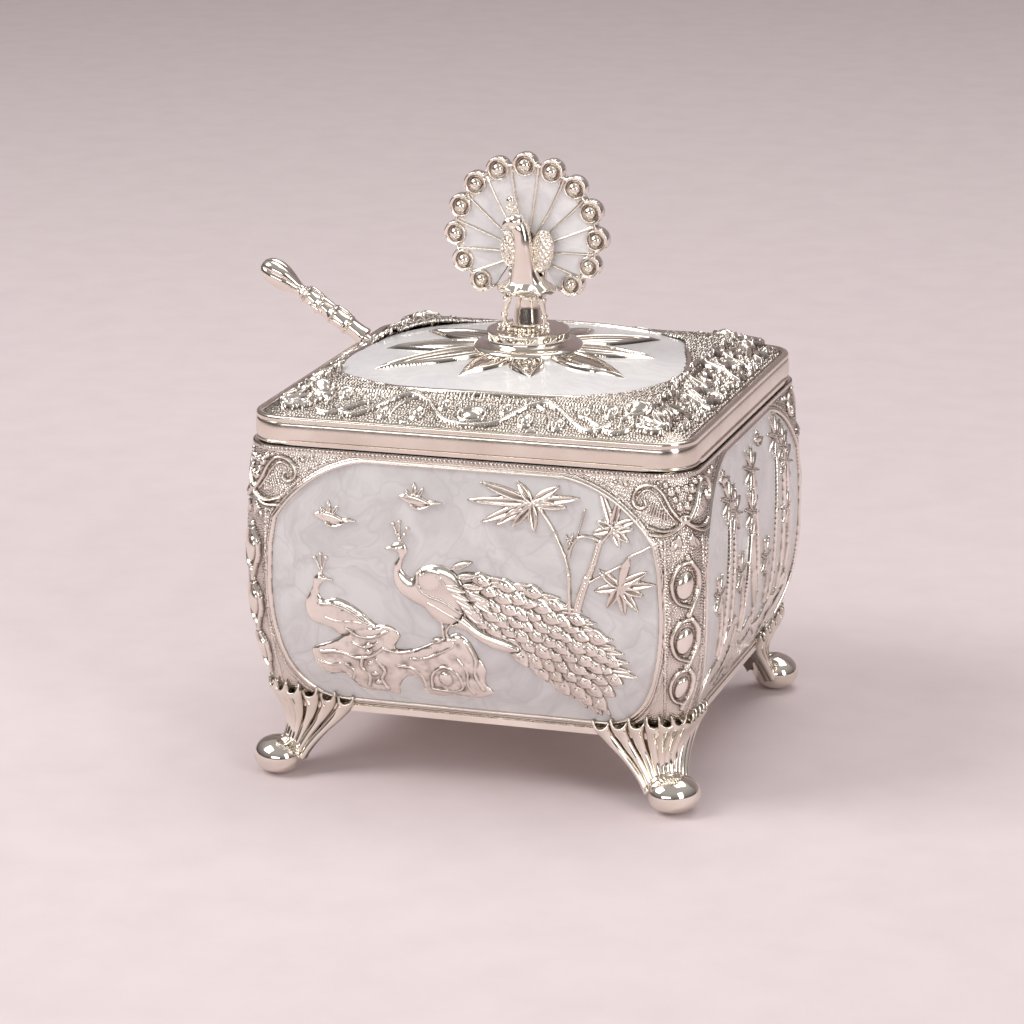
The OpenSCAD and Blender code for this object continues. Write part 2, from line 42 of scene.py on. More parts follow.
# ---------------------------------------------------------------- the body's plan and swell, in mm
CORE_X, CORE_Y, BAND_R = 46.0, 41.0, 9.0
WALL_LOW, WALL_TOP, LID_Z = 18.5, 82.3, 83.8
BELLY_Z = 54.0
CORNER_ARC = 10.8 * math.pi / 2
SIDE_X, SIDE_Y = 2 * CORE_X, 2 * CORE_Y
S_LEFT = CORNER_ARC / 2 + CORE_Y
S_FL = CORNER_ARC + SIDE_Y
S_FRONT = S_FL + CORNER_ARC / 2 + CORE_X
S_FR = S_FL + CORNER_ARC + SIDE_X
S_RIGHT = S_FR + CORNER_ARC / 2 + CORE_Y
S_BR = S_FR + CORNER_ARC + SIDE_Y
S_BACK = S_BR + CORNER_ARC / 2 + CORE_X
S_END = S_BR + CORNER_ARC + SIDE_X
RIM_R, RIM_TOP = 9.3, 83.45
WINDOW_HALF, SIDE_HALF, WINDOW_LOW, WINDOW_HIGH, FRAME_W = 49.5, 44.5, 19.2, 82.1, 1.4


def swell(z):
    z = np.asarray(z, float)
    up = 2.2 - 2.9 * (np.maximum(z - BELLY_Z, 0) / (LID_Z - BELLY_Z)) ** 2
    down = 2.2 - 7.4 * (np.maximum(BELLY_Z - z, 0) / (BELLY_Z - WALL_LOW)) ** 2.6
    return np.where(z > BELLY_Z, up, down)


def plan(s):
    """Core point and outward direction at distance s round the body, from the back left arris."""
    s = np.mod(np.asarray(s, float), S_END)
    stops = [(0.0, CORNER_ARC / 2, -CORE_X, CORE_Y, 135, 45, 0, 0), (CORNER_ARC / 2, SIDE_Y, -CORE_X,
                                                                     CORE_Y, 180, 0, 0, -1),
             (CORNER_ARC / 2 + SIDE_Y, CORNER_ARC, -CORE_X, -CORE_Y, 180, 90, 0, 0),
             (1.5 * CORNER_ARC + SIDE_Y, SIDE_X, -CORE_X, -CORE_Y, 270, 0, 1, 0),
             (1.5 * CORNER_ARC + SIDE_Y + SIDE_X, CORNER_ARC, CORE_X, -CORE_Y, 270, 90, 0, 0),
             (S_FR + CORNER_ARC / 2, SIDE_Y, CORE_X, -CORE_Y, 0, 0, 0, 1),
             (S_FR + CORNER_ARC / 2 + SIDE_Y, CORNER_ARC, CORE_X, CORE_Y, 0, 90, 0, 0),
             (S_BR + CORNER_ARC / 2, SIDE_X, CORE_X, CORE_Y, 90, 0, -1, 0),
             (S_BR + CORNER_ARC / 2 + SIDE_X, CORNER_ARC / 2, -CORE_X, CORE_Y, 90, 45, 0, 0)]
    px, py, phi = np.zeros_like(s), np.zeros_like(s), np.zeros_like(s)
    for start, length, cx, cy, first, turn, dx, dy in stops:
        m = (s >= start - 1e-9) & (s <= start + length + 1e-9)
        t = s - start
        px = np.where(m, cx + dx * t, px)
        py = np.where(m, cy + dy * t, py)
        phi = np.where(m, first + turn * t / length, phi)
    phi = np.radians(phi)
    return px, py, np.cos(phi), np.sin(phi)


# ---------------------------------------------------------------- mesh making
def blur(h, n):
    """Box blur over n samples each way, three times."""
    for _ in range(3):
        for axis in (0, 1):
            pad = [(0, 0), (0, 0)]
            pad[axis] = (n + 1, n)
            c = np.cumsum(np.pad(h, pad, mode="edge"), axis=axis)
            h = (np.take(c, np.arange(2 * n + 1, c.shape[axis]), axis)
                 - np.take(c, np.arange(c.shape[axis] - 2 * n - 1), axis)) / (2 * n + 1)
    return h


def cavity(h, step):
    """How far each sample lies in a hollow of the relief, 0 to 1: the amount of painted shade there."""
    h = np.maximum(h, -0.05).astype(float)
    fine = blur(h, max(1, round(0.25 / step))) - h
    wide = blur(h, max(2, round(0.8 / step))) - h
    return np.clip(fine * 4.2, 0, 0.65) + np.clip(wide * 2.0, 0, 0.5)


def make_mesh(name, verts, faces, hollow=None):
    """A smooth mesh object from an (n, 3) array in mm and an (m, 4) array of indices; hollow, if given, is
    painted shade per vertex, kept as the 'hollow' attribute.
    """
    used = np.zeros(len(verts), bool)
    used[faces.ravel()] = True
    index = np.cumsum(used) - 1
    verts, faces = verts[used] * MM, index[faces]
    me = bpy.data.meshes.new(name)
    corners = faces.shape[1]
    me.vertices.add(len(verts))
    me.vertices.foreach_set("co", verts.astype(np.float32).ravel())
    me.loops.add(faces.size)
    me.loops.foreach_set("vertex_index", faces.astype(np.int32).ravel())
    me.polygons.add(len(faces))
    me.polygons.foreach_set("loop_start", np.arange(0, faces.size, corners, dtype=np.int32))
    me.polygons.foreach_set("use_smooth", np.full(len(faces), True))
    me.update(calc_edges=True)
    # painted shade for the silver materials, darker in the relief's hollows
    if hollow is not None:
        painted_shade_layer = me.attributes.new("hollow", "FLOAT", "POINT")
        painted_shade_layer.data.foreach_set("value", hollow[used].astype(np.float32))
    me.validate()
    ob = bpy.data.objects.new(name, me)
    bpy.context.scene.collection.objects.link(ob)
    return ob


def grid_faces(rows, cols, keep=None, wrap=False):
    """Quads of a rows by cols grid, where keep is true; wrap joins the last column to the first."""
    n = cols if wrap else cols - 1
    j, i = np.meshgrid(np.arange(rows - 1), np.arange(n), indexing="ij")
    right = (i + 1) % cols
    f = np.stack([j * cols + i, j * cols + right, (j + 1) * cols + right, (j + 1) * cols + i], -1)
    return f[keep] if keep is not None else f.reshape(-1, 4)


def all_four(keep):
    """True for the quads whose four corners are all kept."""
    return keep[1:, 1:] & keep[:-1, :-1] & keep[1:, :-1] & keep[:-1, 1:]


def any_high(h):
    """True for the quads with a corner that stands clear of the empty canvas."""
    return np.maximum(np.maximum(h[1:, 1:], h[:-1, :-1]), np.maximum(h[1:, :-1], h[:-1, 1:])) > -0.12


def sheet(x, y, z):
    """Rows of points from arrays that broadcast to one grid."""
    return np.stack(np.broadcast_arrays(x, y, z), -1).reshape(-1, 3)


def heading(degrees):
    return math.cos(math.radians(degrees)), math.sin(math.radians(degrees))


def unit(x):
    return np.clip(x, 0, 1)


def arch(q):
    """Round section: 1 at q = 0, falling to 0 at q = 1 or -1."""
    return np.sqrt(unit(1 - q ** 2))


def merge(parts):
    verts, faces, base = [], [], 0
    for v, f in parts:
        verts.append(v)
        faces.append(f + base)
        base += len(v)
    return np.concatenate(verts), np.concatenate(faces)


def lathe(profile, steps=96, centre=(0, 0, 0)):
    """Quads of a profile [(r, z), ...] turned about +Z."""
    p = np.array(profile, float)
    a = np.linspace(0, 2 * np.pi, steps, endpoint=False)
    v = np.stack([p[:, :1] * np.cos(a), p[:, :1] * np.sin(a), np.repeat(p[:, 1:], steps, 1)], -1)
    return v.reshape(-1, 3) + np.array(centre), grid_faces(len(p), steps, wrap=True)


def ball(centre, radii, rot=None, n=20):
    a = np.linspace(0.02, np.pi - 0.02, n)
    p = np.stack([np.sin(a), -np.cos(a)], -1)
    v, f = lathe(p, 2 * n)
    v = v * np.array(radii)
    if rot is not None:
        v = v @ np.array(rot).T
    return v + np.array(centre), f


def tube(points, radius, sides=10):
    """Quads of a round rod along points; radius may be a list."""
    p = np.array(points, float)
    r = np.broadcast_to(np.asarray(radius, float), (len(p),))
    d = np.gradient(p, axis=0)
    d /= np.linalg.norm(d, axis=1)[:, None] + 1e-12
    up = np.array([0.0, 0.0, 1.0]) if abs(d[:, 2]).max() < 0.95 else np.array([0.0, 1.0, 0.0])
    side = np.cross(d, up)
    side /= np.linalg.norm(side, axis=1)[:, None] + 1e-9
    top = np.cross(side, d)
    a = np.linspace(0, 2 * np.pi, sides, endpoint=False)[None, :, None]
    v = p[:, None] + r[:, None, None] * (np.cos(a) * side[:, None] + np.sin(a) * top[:, None])
    v = np.concatenate([p[:1][None].repeat(sides, 1), v, p[-1:][None].repeat(sides, 1)])
    return v.reshape(-1, 3), grid_faces(len(v), sides, wrap=True)


def spline(points, per=8, closed=False):
    """Catmull-Rom curve through points of any dimension."""
    p = np.array(points, float)
    if closed:
        q = np.concatenate([p[-1:], p, p[:2]])
    else:
        q = np.concatenate([2 * p[:1] - p[1:2], p, 2 * p[-1:] - p[-2:-1]])
    t = np.linspace(0, 1, per, endpoint=False)[:, None]
    out = []
    for i in range(len(q) - 3):
        a, b, c, d = q[i:i + 4]
        out.append(0.5
                   * (2 * b + (c - a) * t + (2 * a - 5 * b + 4 * c - d) * t ** 2 + (3 * b - a - 3 * c + d)
                      * t ** 3))
    if not closed:
        out.append(p[-1:])
    return np.concatenate(out)


# ---------------------------------------------------------------- relief canvas
UNDER = -0.35


class Canvas:
    """Heights over a flat sheet, in mm; features are drawn in a local, possibly mirrored frame."""

    def __init__(self, low, high, step):
        self.x = np.arange(low[0], high[0] + step / 2, step)
        self.z = np.arange(low[1], high[1] + step / 2, step)
        self.step = step
        self.h = np.full((len(self.z), len(self.x)), UNDER, np.float32)
        self.at(0, 1)

    def at(self, origin, flip=1, floor=0.0, tip=1):
        self.origin, self.flip, self.floor, self.tip = origin, flip, floor, tip

    def window(self, x0, x1, z0, z1):
        a, b = sorted((self.origin + self.flip * x0, self.origin + self.flip * x1))
        c, d = sorted((self.tip * z0, self.tip * z1))
        i0, i1 = np.searchsorted(self.x, [a, b])
        j0, j1 = np.searchsorted(self.z, [c, d])
        w = (slice(j0, j1), slice(i0, i1))
        return w, ((self.x[i0:i1] - self.origin) * self.flip)[None, :], self.z[j0:j1, None] * self.tip

    def raise_to(self, w, value):
        if value.size:
            self.h[w] = np.maximum(self.h[w], value)

    def put(self, w, mask, value):
        if mask.size:
            self.h[w] = np.where(mask, value, self.h[w])

    def line(self, points, width, height, groove=0.0, base=None):
        """Rounded ridge along a line; width and height are one number or one for each point."""
        p = np.array(points, float)
        wd = np.broadcast_to(np.asarray(width, float), (len(p),)) / 2
        ht = np.broadcast_to(np.asarray(height, float), (len(p),))
        base = self.floor if base is None else base
        m = wd.max() + 0.6
        for k in range(len(p) - 1):
            a, b = p[k], p[k + 1]
            w, X, Z = self.window(min(a[0], b[0]) - m, max(a[0], b[0]) + m, min(a[1], b[1]) - m,
                                  max(a[1], b[1]) + m)
            d = b - a
            t = unit(((X - a[0]) * d[0] + (Z - a[1]) * d[1]) / (d @ d + 1e-12))
            dist = np.hypot(X - a[0] - t * d[0], Z - a[1] - t * d[1])
            r = wd[k] + (wd[k + 1] - wd[k]) * t
            hh = ht[k] + (ht[k + 1] - ht[k]) * t
            q = dist / np.maximum(r, 1e-6)
            v = base + hh * arch(q) - 5 * np.maximum(dist - r, 0)
            if groove:
                v = v - groove * np.exp(-(q / 0.28) ** 2)
            self.raise_to(w, v)

    def curve(self, points, *section, **more):
        """Ridge along a smooth curve through points."""
        self.line(spline(points), *section, **more)

    def dome(self, x, z, a, b, angle, height, rim=0.0, base=None):
        """Elliptical boss, with an optional thin rim round it."""
        base = self.floor if base is None else base
        m = max(a, b) + 1.4
        w, X, Z = self.window(x - m, x + m, z - m, z + m)
        c, s = heading(angle)
        u, v = (X - x) * c + (Z - z) * s, -(X - x) * s + (Z - z) * c
        q = np.sqrt((u / a) ** 2 + (v / b) ** 2)
        val = base + height * arch(q) - 5 * np.maximum(q - 1, 0) * min(a, b)
        self.raise_to(w, val)
        if rim:
            d = np.abs((q - 1) * min(a, b) - 0.55)
            self.raise_to(w, base + height * rim * arch(d / 0.32) - 5 * np.maximum(d - 0.32, 0))

    def blade(self, x, z, angle, length, width, height, bow=0.0):
        """Curved leaf with a raised edge and a dished face."""
        w, X, Z = self.window(x - length - 1, x + length + 1, z - length - 1, z + length + 1)
        c, s = heading(angle)
        u, v = ((X - x) * c + (Z - z) * s) / length, -(X - x) * s + (Z - z) * c
        v = v - bow * np.sin(np.pi * unit(u))
        half = width / 2 * np.sin(np.pi * unit(u) ** 0.7) ** 0.85 + 0.02
        d = half - np.abs(v)
        val = self.floor + height * (0.45 + 0.55 * arch((d - 0.32) / 0.36))
        val = val - 5 * np.maximum(-d, 0) + 0.25 * height * np.exp(-(v / 0.22) ** 2)
        self.raise_to(w, np.where((u > 0) & (u < 1) & (d > -0.3), val, UNDER))

    def leaf(self, x, z, angle, length, width, height, rib=0.35, base=None, over=False, tilt=0.0):
        """Pointed leaf from (x, z) with raised edges or a sunk middle vein."""
        base = self.floor if base is None else base
        w, X, Z = self.window(x - length - 1, x + length + 1, z - length - 1, z + length + 1)
        c, s = heading(angle)
        u, v = ((X - x) * c + (Z - z) * s) / length, -(X - x) * s + (Z - z) * c
        half = width / 2 * np.sin(np.pi * unit(u) ** 0.8) ** 0.8
        inside = (u > 0) & (u < 1)
        q = np.abs(v) / np.maximum(half, 1e-3)
        val = base + height * arch(q) - rib * np.exp(-(q / 0.42) ** 2)
        val = val + tilt * unit(u) - 4 * np.maximum(np.abs(v) - half, 0)
        if over:
            self.put(w, inside & (q < 1), val)
        else:
            self.raise_to(w, np.where(inside & (q < 1.6), val, UNDER))

    def plate(self, outline, height, edge, grain=0.0, over=False):
        """Cushioned shape inside a closed smooth outline."""
        p = spline(outline, 5, closed=True)
        lo, hi = p.min(0) - 0.8, p.max(0) + 0.8
        w, X, Z = self.window(lo[0], hi[0], lo[1], hi[1])
        d = outline_distance(p, X, Z)
        t = unit(d / edge)
        val = self.floor + height * arch(1 - t) - 5 * np.maximum(-d, 0)
        if grain:
            val = val + grain * cloud(val.shape, 5) * (d > 0)
        if over:
            self.put(w, d > 0, val)
        else:
            self.raise_to(w, val)
        return w, d


def outline_distance(p, X, Z):
    """Distance inside (+) or outside (-) of a closed outline."""
    best = np.full(np.broadcast(X, Z).shape, 1e9)
    inside = np.zeros(best.shape, bool)
    for a, b in zip(p, np.roll(p, -1, 0)):
        d = b - a
        t = unit(((X - a[0]) * d[0] + (Z - a[1]) * d[1]) / (d @ d + 1e-12))
        best = np.minimum(best, (X - a[0] - t * d[0]) ** 2 + (Z - a[1] - t * d[1]) ** 2)
        if abs(d[1]) > 1e-9:
            cross = (Z - a[1]) / d[1]
            inside ^= ((a[1] <= Z) != (b[1] <= Z)) & (X < a[0] + cross * d[0])
    return np.where(inside, 1, -1) * np.sqrt(best)


def cloud(shape, cell):
    """Smooth random field between -1 and 1 with lumps about cell samples wide."""
    n = (shape[0] // cell + 3, shape[1] // cell + 3)
    g = RNG.uniform(-1, 1, n)
    y, x = np.arange(shape[0]) / cell, np.arange(shape[1]) / cell
    j, i = y.astype(int), x.astype(int)
    fy, fx = (y - j)[:, None], (x - i)[None, :]
    fy, fx = fy * fy * (3 - 2 * fy), fx * fx * (3 - 2 * fx)
    g00, g01 = g[j][:, i], g[j][:, i + 1]
    g10, g11 = g[j + 1][:, i], g[j + 1][:, i + 1]
    return (g00 * (1 - fx) + g01 * fx) * (1 - fy) + (g10 * (1 - fx) + g11 * fx) * fy


def stipple(x, z, pitch):
    """Close-set little grains, 0 to 1, on a wavering lattice."""
    wx = x + 0.16 * np.sin(z * 2.9) + 0.12 * np.sin(z * 7.3 + x)
    wz = z + 0.16 * np.sin(x * 3.1) + 0.12 * np.sin(x * 6.7 - z)
    k = np.pi / pitch
    return np.abs(np.sin(wx * k) * np.sin(wz * k))


def window_outline(half, margin=0.0):
    r = 32.5 - margin
    pts = []
    for a in range(85, 30, -4):
        c, s = heading(a)
        pts.append((half - 29.5 + r * c, min(50 + r * s, WINDOW_HIGH - margin)))
    pts += [(half - 1.7 - margin, 67.0), (half - 0.5 - margin, 60.0)]
    for a in range(0, 91, 6):
        c, s = heading(a)
        pts.append((half - 17.5 + (17.5 - margin) * max(c, 0) ** 0.87,
                    50 - (50 - WINDOW_LOW - margin) * s ** 0.87))
    return np.array(pts + [(-x, z) for x, z in pts[::-1]])


def frame_and_ground(cv, s0, half):
    """Window frame of one side with the granulated ground outside it."""
    cv.at(s0, 1)
    reach = half + CORNER_ARC / 2 - 3.5
    w, X, Z = cv.window(-reach, reach, WALL_LOW - 1, WALL_TOP)
    d = -outline_distance(window_outline(half), X, Z)
    grain = 0.2 + 0.22 * stipple(X, Z, 0.62)
    dots = 0.3 * arch((d - 0.75) / 0.4) * (0.5 + 0.5 * np.sin(Z * 8.4 + X * 8.4))
    ground = np.where(d > 0, grain + dots, UNDER)
    t = -d / FRAME_W
    bead = 0.2 + 0.62 * arch((t - 0.62) / 0.38)
    rim = 0.2 + 0.42 * arch((t - 0.1) / 0.14)
    edge = np.where((t >= -0.04) & (t <= 1), np.maximum(bead, rim), UNDER)
    edge = np.where(t > 1, 0.2 - 6 * (t - 1) * FRAME_W, edge)
    cv.raise_to(w, np.maximum(ground, edge))


def stile(cv, s0):
    """Ornament of one corner: cabochons, brackets, volutes, berries, drawn to both sides."""
    floor = 0.35
    for flip in (1, -1):
        cv.at(s0, flip, floor)
        cv.curve([(-8.9, 71.2), (-5, 70.3), (-1.5, 71.4), (0.2, 73.2)], [0.5] * 24 + [1.1], 0.95)
        cv.curve([(-8.2, 69.4), (-5, 69.3), (-2.6, 70.3), (-0.6, 71.6)], 0.8, 0.8)
        cv.curve([(-1.2, 72.6), (-3.4, 75.4), (-5.2, 78.6), (-7.6, 80.7), (-10.3, 80.6), (-12.4, 78.9),
                  (-12.6, 76.6), (-11, 75.3), (-9.6, 76.1), (-9.9, 77.3)], 0.8, 0.75)
        cv.curve([(-2.6, 72.6), (-4.7, 75.2), (-6.4, 77.9), (-8.4, 79.5), (-10.2, 79.3), (-11.4, 78.1)],
                 0.4, 0.45)
        for k in range(7):
            cv.line([(-8.6 + k * 0.7, 74.2 - 0.25 * k), (-7.6 + k * 0.55, 77 - 0.3 * k)], 0.35, 0.3)
        cv.leaf(-3.5, 65.6, 62, 3.4, 1.7, 0.6, rib=0.5)
        cv.leaf(-1.6, 66.2, 95, 3.2, 1.5, 0.6, rib=0.3)
        for x, z, r in ((-1.1, 75.6, 1.0), (-3.2, 79.3, 1.1), (-1.2, 79.6, 0.9), (-4.6, 80.9, 0.8),
                        (-2.2, 77.4, 0.8), (-14.5, 80.6, 0.6), (-17, 81, 0.5), (-6.6, 81.4, 0.5)):
            cv.dome(x, z, r, r, 0, 0.75)
    cv.at(s0, 1, floor)
    cv.dome(0, 72.6, 1.5, 1.2, 0, 1.0)
    for z, size, lean in ((57.0, 1.08, -10), (43.4, 1.05, -12), (31.4, 0.92, -18)):
        cv.dome(-0.5, z, 1.9 * size, 3.1 * size, lean, 1.1)
        cv.curve([(1.2, z + 5.0 * size), (-1.4, z + 4.7 * size), (-3.2, z + 2.2 * size), (-3.5, z - 0.8),
                  (-2.3, z - 3.5 * size), (0.4, z - 4.8 * size)], 0.85, 0.85)
        cv.curve([(1.2, z + 5.0 * size), (2.8, z + 2.4 * size), (2.8, z - 1.2), (1.5, z - 4.0 * size),
                  (0.5, z - 6.4 * size)], [1.1] * 20 + [0.75] * 13, 0.95)
        cv.dome(0.4, z + 6.1 * size, 0.75, 0.75, 0, 0.8)
    for z in np.arange(20, 68, 0.95):
        cv.line([(5.0, z), (5.0, z + 0.45)], 0.5, 0.35)
        cv.line([(-5.0, z), (-5.0, z + 0.45)], 0.5, 0.35)


def rim_strip(cv):
    """Heights of the hatched moulding between the walls and the lid, and the painted shade in its grooves."""
    j0 = np.searchsorted(cv.z, WALL_TOP)
    z = cv.z[j0:, None]
    lean = cv.x[None, :] + 0.5 * (z - WALL_TOP)
    dash = np.abs(np.sin(lean * np.pi / 0.95 + 0.4 * np.sin(cv.x[None, :] * 1.7)))
    across = arch((z - 82.87) / 0.62)
    cv.h[j0:] = 0.02 + 0.3 * dash * across
    # painted shade: dark in the grooves between the dashes and along the strip's edges
    return j0, np.clip(0.95 - 1.1 * dash * across, 0, 0.85)


def bamboo_leaves(cv, x, z, tips, width=2.6):
    """Leaves that spread from one point to each of the tips."""
    for tx, tz in tips:
        length, turn = math.hypot(tx - x, tz - z), math.atan2(tz - z, tx - x)
        cv.leaf(x, z, math.degrees(turn), length, width, 1.05, rib=0.72)


def bamboo_stem(cv, points, width, nodes=()):
    """Cane or twig along points, with a ring at each node."""
    p = spline(points, 6)
    cv.line(p, width, 0.85, groove=0.32 if width > 1.1 else 0.0)
    for x, z in nodes:
        cv.dome(x, z, width * 0.72, 0.45, 15, 0.95)


def small_bird(cv, x, z, k=1.0):
    """Flying bird, beak to the left, tail drawn out to a point."""
    cv.leaf(x - 3.6 * k, z, -9, 6.6 * k, 2.2 * k, 0.85, rib=0.1)
    cv.dome(x - 1.9 * k, z + 0.3 * k, 0.8 * k, 0.7 * k, 0, 0.85)
    cv.dome(x + 0.5 * k, z - 1.3 * k, 1.6 * k, 0.7 * k, -8, 0.5)
    cv.curve([(x - 1.7 * k, z - 0.4 * k), (x - 1.0 * k, z - 1.8 * k), (x + 0.5 * k, z - 2.3 * k),
              (x + 2.2 * k, z - 1.8 * k), (x + 3.6 * k, z - 1.0 * k), (x + 5.0 * k, z - 0.9 * k)], 0.5, 0.8)
    cv.leaf(x + 1.8 * k, z - 0.8 * k, -2, 3.6 * k, 0.9 * k, 0.8, rib=0.3)
    cv.leaf(x - 0.5 * k, z + 0.2 * k, 92, 2.7 * k, 1.1 * k, 0.9, rib=0.45)
    cv.leaf(x + 0.2 * k, z + 0.1 * k, 58, 2.2 * k, 1.0 * k, 0.85, rib=0.4)
    cv.leaf(x - 1.4 * k, z + 0.2 * k, 128, 1.5 * k, 0.8 * k, 0.8, rib=0.2)


def crest(cv, x, z, tips):
    """Crown of plumes, each with a small bead at its tip."""
    for tx, tz in tips:
        cv.line([(x, z), (tx, tz)], 0.4, 0.6)
        cv.dome(tx, tz, 0.55, 0.5, 0, 0.75)


def peahen(cv):
    body = [(-37.3, 52.4), (-35.9, 53.6), (-34.6, 53.0), (-34.0, 51.8), (-35.2, 51.0), (-36.0, 49.6),
            (-35.9, 48.0), (-34.6, 46.9), (-32.0, 47.6), (-28.6, 46.7), (-25.6, 44.8), (-23.0, 42.6),
            (-20.6, 40.8), (-24.0, 39.4), (-28.6, 38.4), (-31.2, 38.2), (-33.4, 39.7), (-36.0, 40.4),
            (-38.6, 41.5), (-39.7, 43.9), (-39.6, 46.4), (-38.4, 48.6), (-37.6, 50.6)]
    cv.plate(body, 0.95, 2.6, grain=0.04)
    cv.leaf(-34.7, 52.3, -8, 2.4, 0.9, 0.7, rib=0)
    cv.curve([(-36.2, 46.0), (-32.6, 46.0), (-28.8, 44.9), (-24.8, 42.2)], 0.4, 0.5, base=0.75)
    cv.curve([(-34.6, 42.6), (-31.4, 41.8), (-27.0, 42.0), (-23.4, 41.4)], 0.35, 0.4, base=0.75)
    cv.curve([(-30.4, 44.4), (-29.0, 44.9), (-28.2, 44.0)], 0.3, 0.35, base=0.8)
    crest(cv, -35.2, 53.6, [(-36.9, 57.2), (-35.4, 58.2), (-34.0, 57.4)])
    cv.dome(-35.6, 52.5, 0.3, 0.3, 0, 0.5, base=0.8)


def rock(cv):
    edge = [(-33.7, 36.4), (-38.4, 34.4), (-38.9, 32.0), (-37.6, 28.6), (-35.0, 27.0), (-31.4, 27.6),
            (-29.0, 25.0), (-26.4, 23.3), (-21.6, 23.4), (-18.1, 22.9), (-17.2, 26.2), (-14.6, 28.6),
            (-12.2, 27.6), (-11.0, 24.4), (-8.1, 23.6), (-3.3, 24.2), (2.1, 24.0), (6.2, 25.8), (4.6, 28.6),
            (5.0, 32.6), (2.8, 36.2), (1.2, 39.6), (-1.6, 41.4), (-5.6, 39.4), (-9.4, 37.6), (-13.3, 36.0),
            (-17.4, 36.0), (-15.9, 39.3), (-18.2, 41.6), (-22.0, 41.7), (-26.0, 41.2), (-30.2, 38.6)]
    w, inside = cv.plate(edge, 0.95, 2.0)
    wave = cloud(inside.shape, round(2.1 / cv.step)) * 0.24 + cloud(inside.shape, round(0.9 / cv.step)) * 0.07
    cv.h[w] += wave * unit(inside / 1.2)
    base = 0.78
    for pts, wd in (([(-36.4, 33.4), (-31.6, 33.8), (-27.4, 32.6), (-23.6, 33.4), (-20.4, 35.8)], 0.9),
                    ([(-37.2, 31.0), (-34.4, 30.2), (-31.8, 30.6)], 0.7),
                    ([(-20.4, 35.8), (-17.0, 35.0), (-13.4, 35.6)], 0.7),
                    ([(-29.4, 40.4), (-26.6, 38.6), (-23.0, 38.4), (-19.2, 40.2)], 0.7),
                    ([(-28.2, 36.6), (-24.6, 35.6), (-21.6, 37.2)], 0.6),
                    ([(-25.8, 33.0), (-26.4, 30.2), (-24.6, 27.8), (-25.2, 25.0)], 0.8),
                    ([(-22.4, 32.6), (-20.6, 29.6), (-21.6, 27.2), (-20.4, 24.6)], 0.8),
                    ([(-30.6, 30.6), (-28.4, 28.8), (-29.0, 26.6)], 0.6),
                    ([(-17.0, 31.4), (-13.8, 31.2), (-11.4, 29.4), (-10.4, 26.4)], 0.8),
                    ([(1.2, 38.8), (2.9, 34.8), (2.4, 30.6), (4.0, 26.8)], 0.8),
                    ([(-13.6, 33.6), (-9.6, 34.2), (-6.2, 35.8), (-2.4, 38.0)], 0.6),
                    ([(-1.6, 34.6), (0.4, 31.4), (0.2, 27.6), (1.6, 25.4)], 0.6)):
        cv.curve(pts, wd, 0.55, base=base)
    for x, z in ((-24.0, 36.2), (-23.9, 31.4), (-23.2, 28.6), (-24.2, 34.4), (-22.6, 26.2)):
        cv.dome(x, z, 1.0, 0.7, 20, 0.62, base=base)
    cv.dome(-5.2, 28.9, 1.7, 1.9, 10, 0.85, base=base)
    cv.curve([(-9.0, 25.8), (-8.4, 29.8), (-5.4, 32.2), (-2.2, 30.6), (-1.2, 26.8), (-4.6, 25.6),
              (-8.6, 25.8)], 0.7, 0.55, base=base)


def train(cv, root, tip, widths, size, seed):
    """Peacock's train: shingled eyed feathers from the tip up to the root, spikes along both edges."""
    rnd = np.random.default_rng(seed)
    root, tip = np.array(root, float), np.array(tip, float)
    d = tip - root
    length = np.hypot(*d)
    d /= length
    n = np.array([-d[1], d[0]])
    angle = math.degrees(math.atan2(d[1], d[0]))
    rows = int(length / (size * 0.6))
    for r in range(rows, -1, -1):
        t = r / rows
        half = np.interp(t, np.linspace(0, 1, len(widths)), widths)
        centre = root + d * length * t + n * 2.4 * math.sin(math.pi * t)
        for side in (-1, 1):
            for back in (0.0, size * 0.34):
                p = centre + n * side * half * 0.8 - d * back
                cv.leaf(p[0], p[1], angle + side * (24 + 14 * rnd.random()),
                        size * (1.25 + 0.3 * rnd.random()), size * 0.42, 0.95, rib=0.5)
        count = max(2, int(round(2 * half / (size * 0.66))))
        for k in range(count + 1):
            v = (k / count * 2 - 1) + (0.5 / count if r % 2 else 0)
            if abs(v) > 1.02:
                continue
            k_size = size * rnd.uniform(0.86, 1.12)
            p = centre + n * v * half * 0.9 - d * size * 0.25
            a = angle + v * 16 + rnd.uniform(-9, 9)
            cv.leaf(p[0], p[1], a, k_size * 1.12, k_size * 0.8, 0.5, rib=0.0, base=0.1, over=True, tilt=0.7)
            c, s = heading(a)
            q = p + np.array([c, s]) * k_size * 0.62
            cv.dome(q[0], q[1], k_size * 0.2, k_size * 0.16, a, 0.42, base=0.9)
            cv.line([p + np.array([c, s]) * k_size * 0.2, p + np.array([c, s]) * k_size * 0.45], 0.3, 0.25,
                    base=0.7)


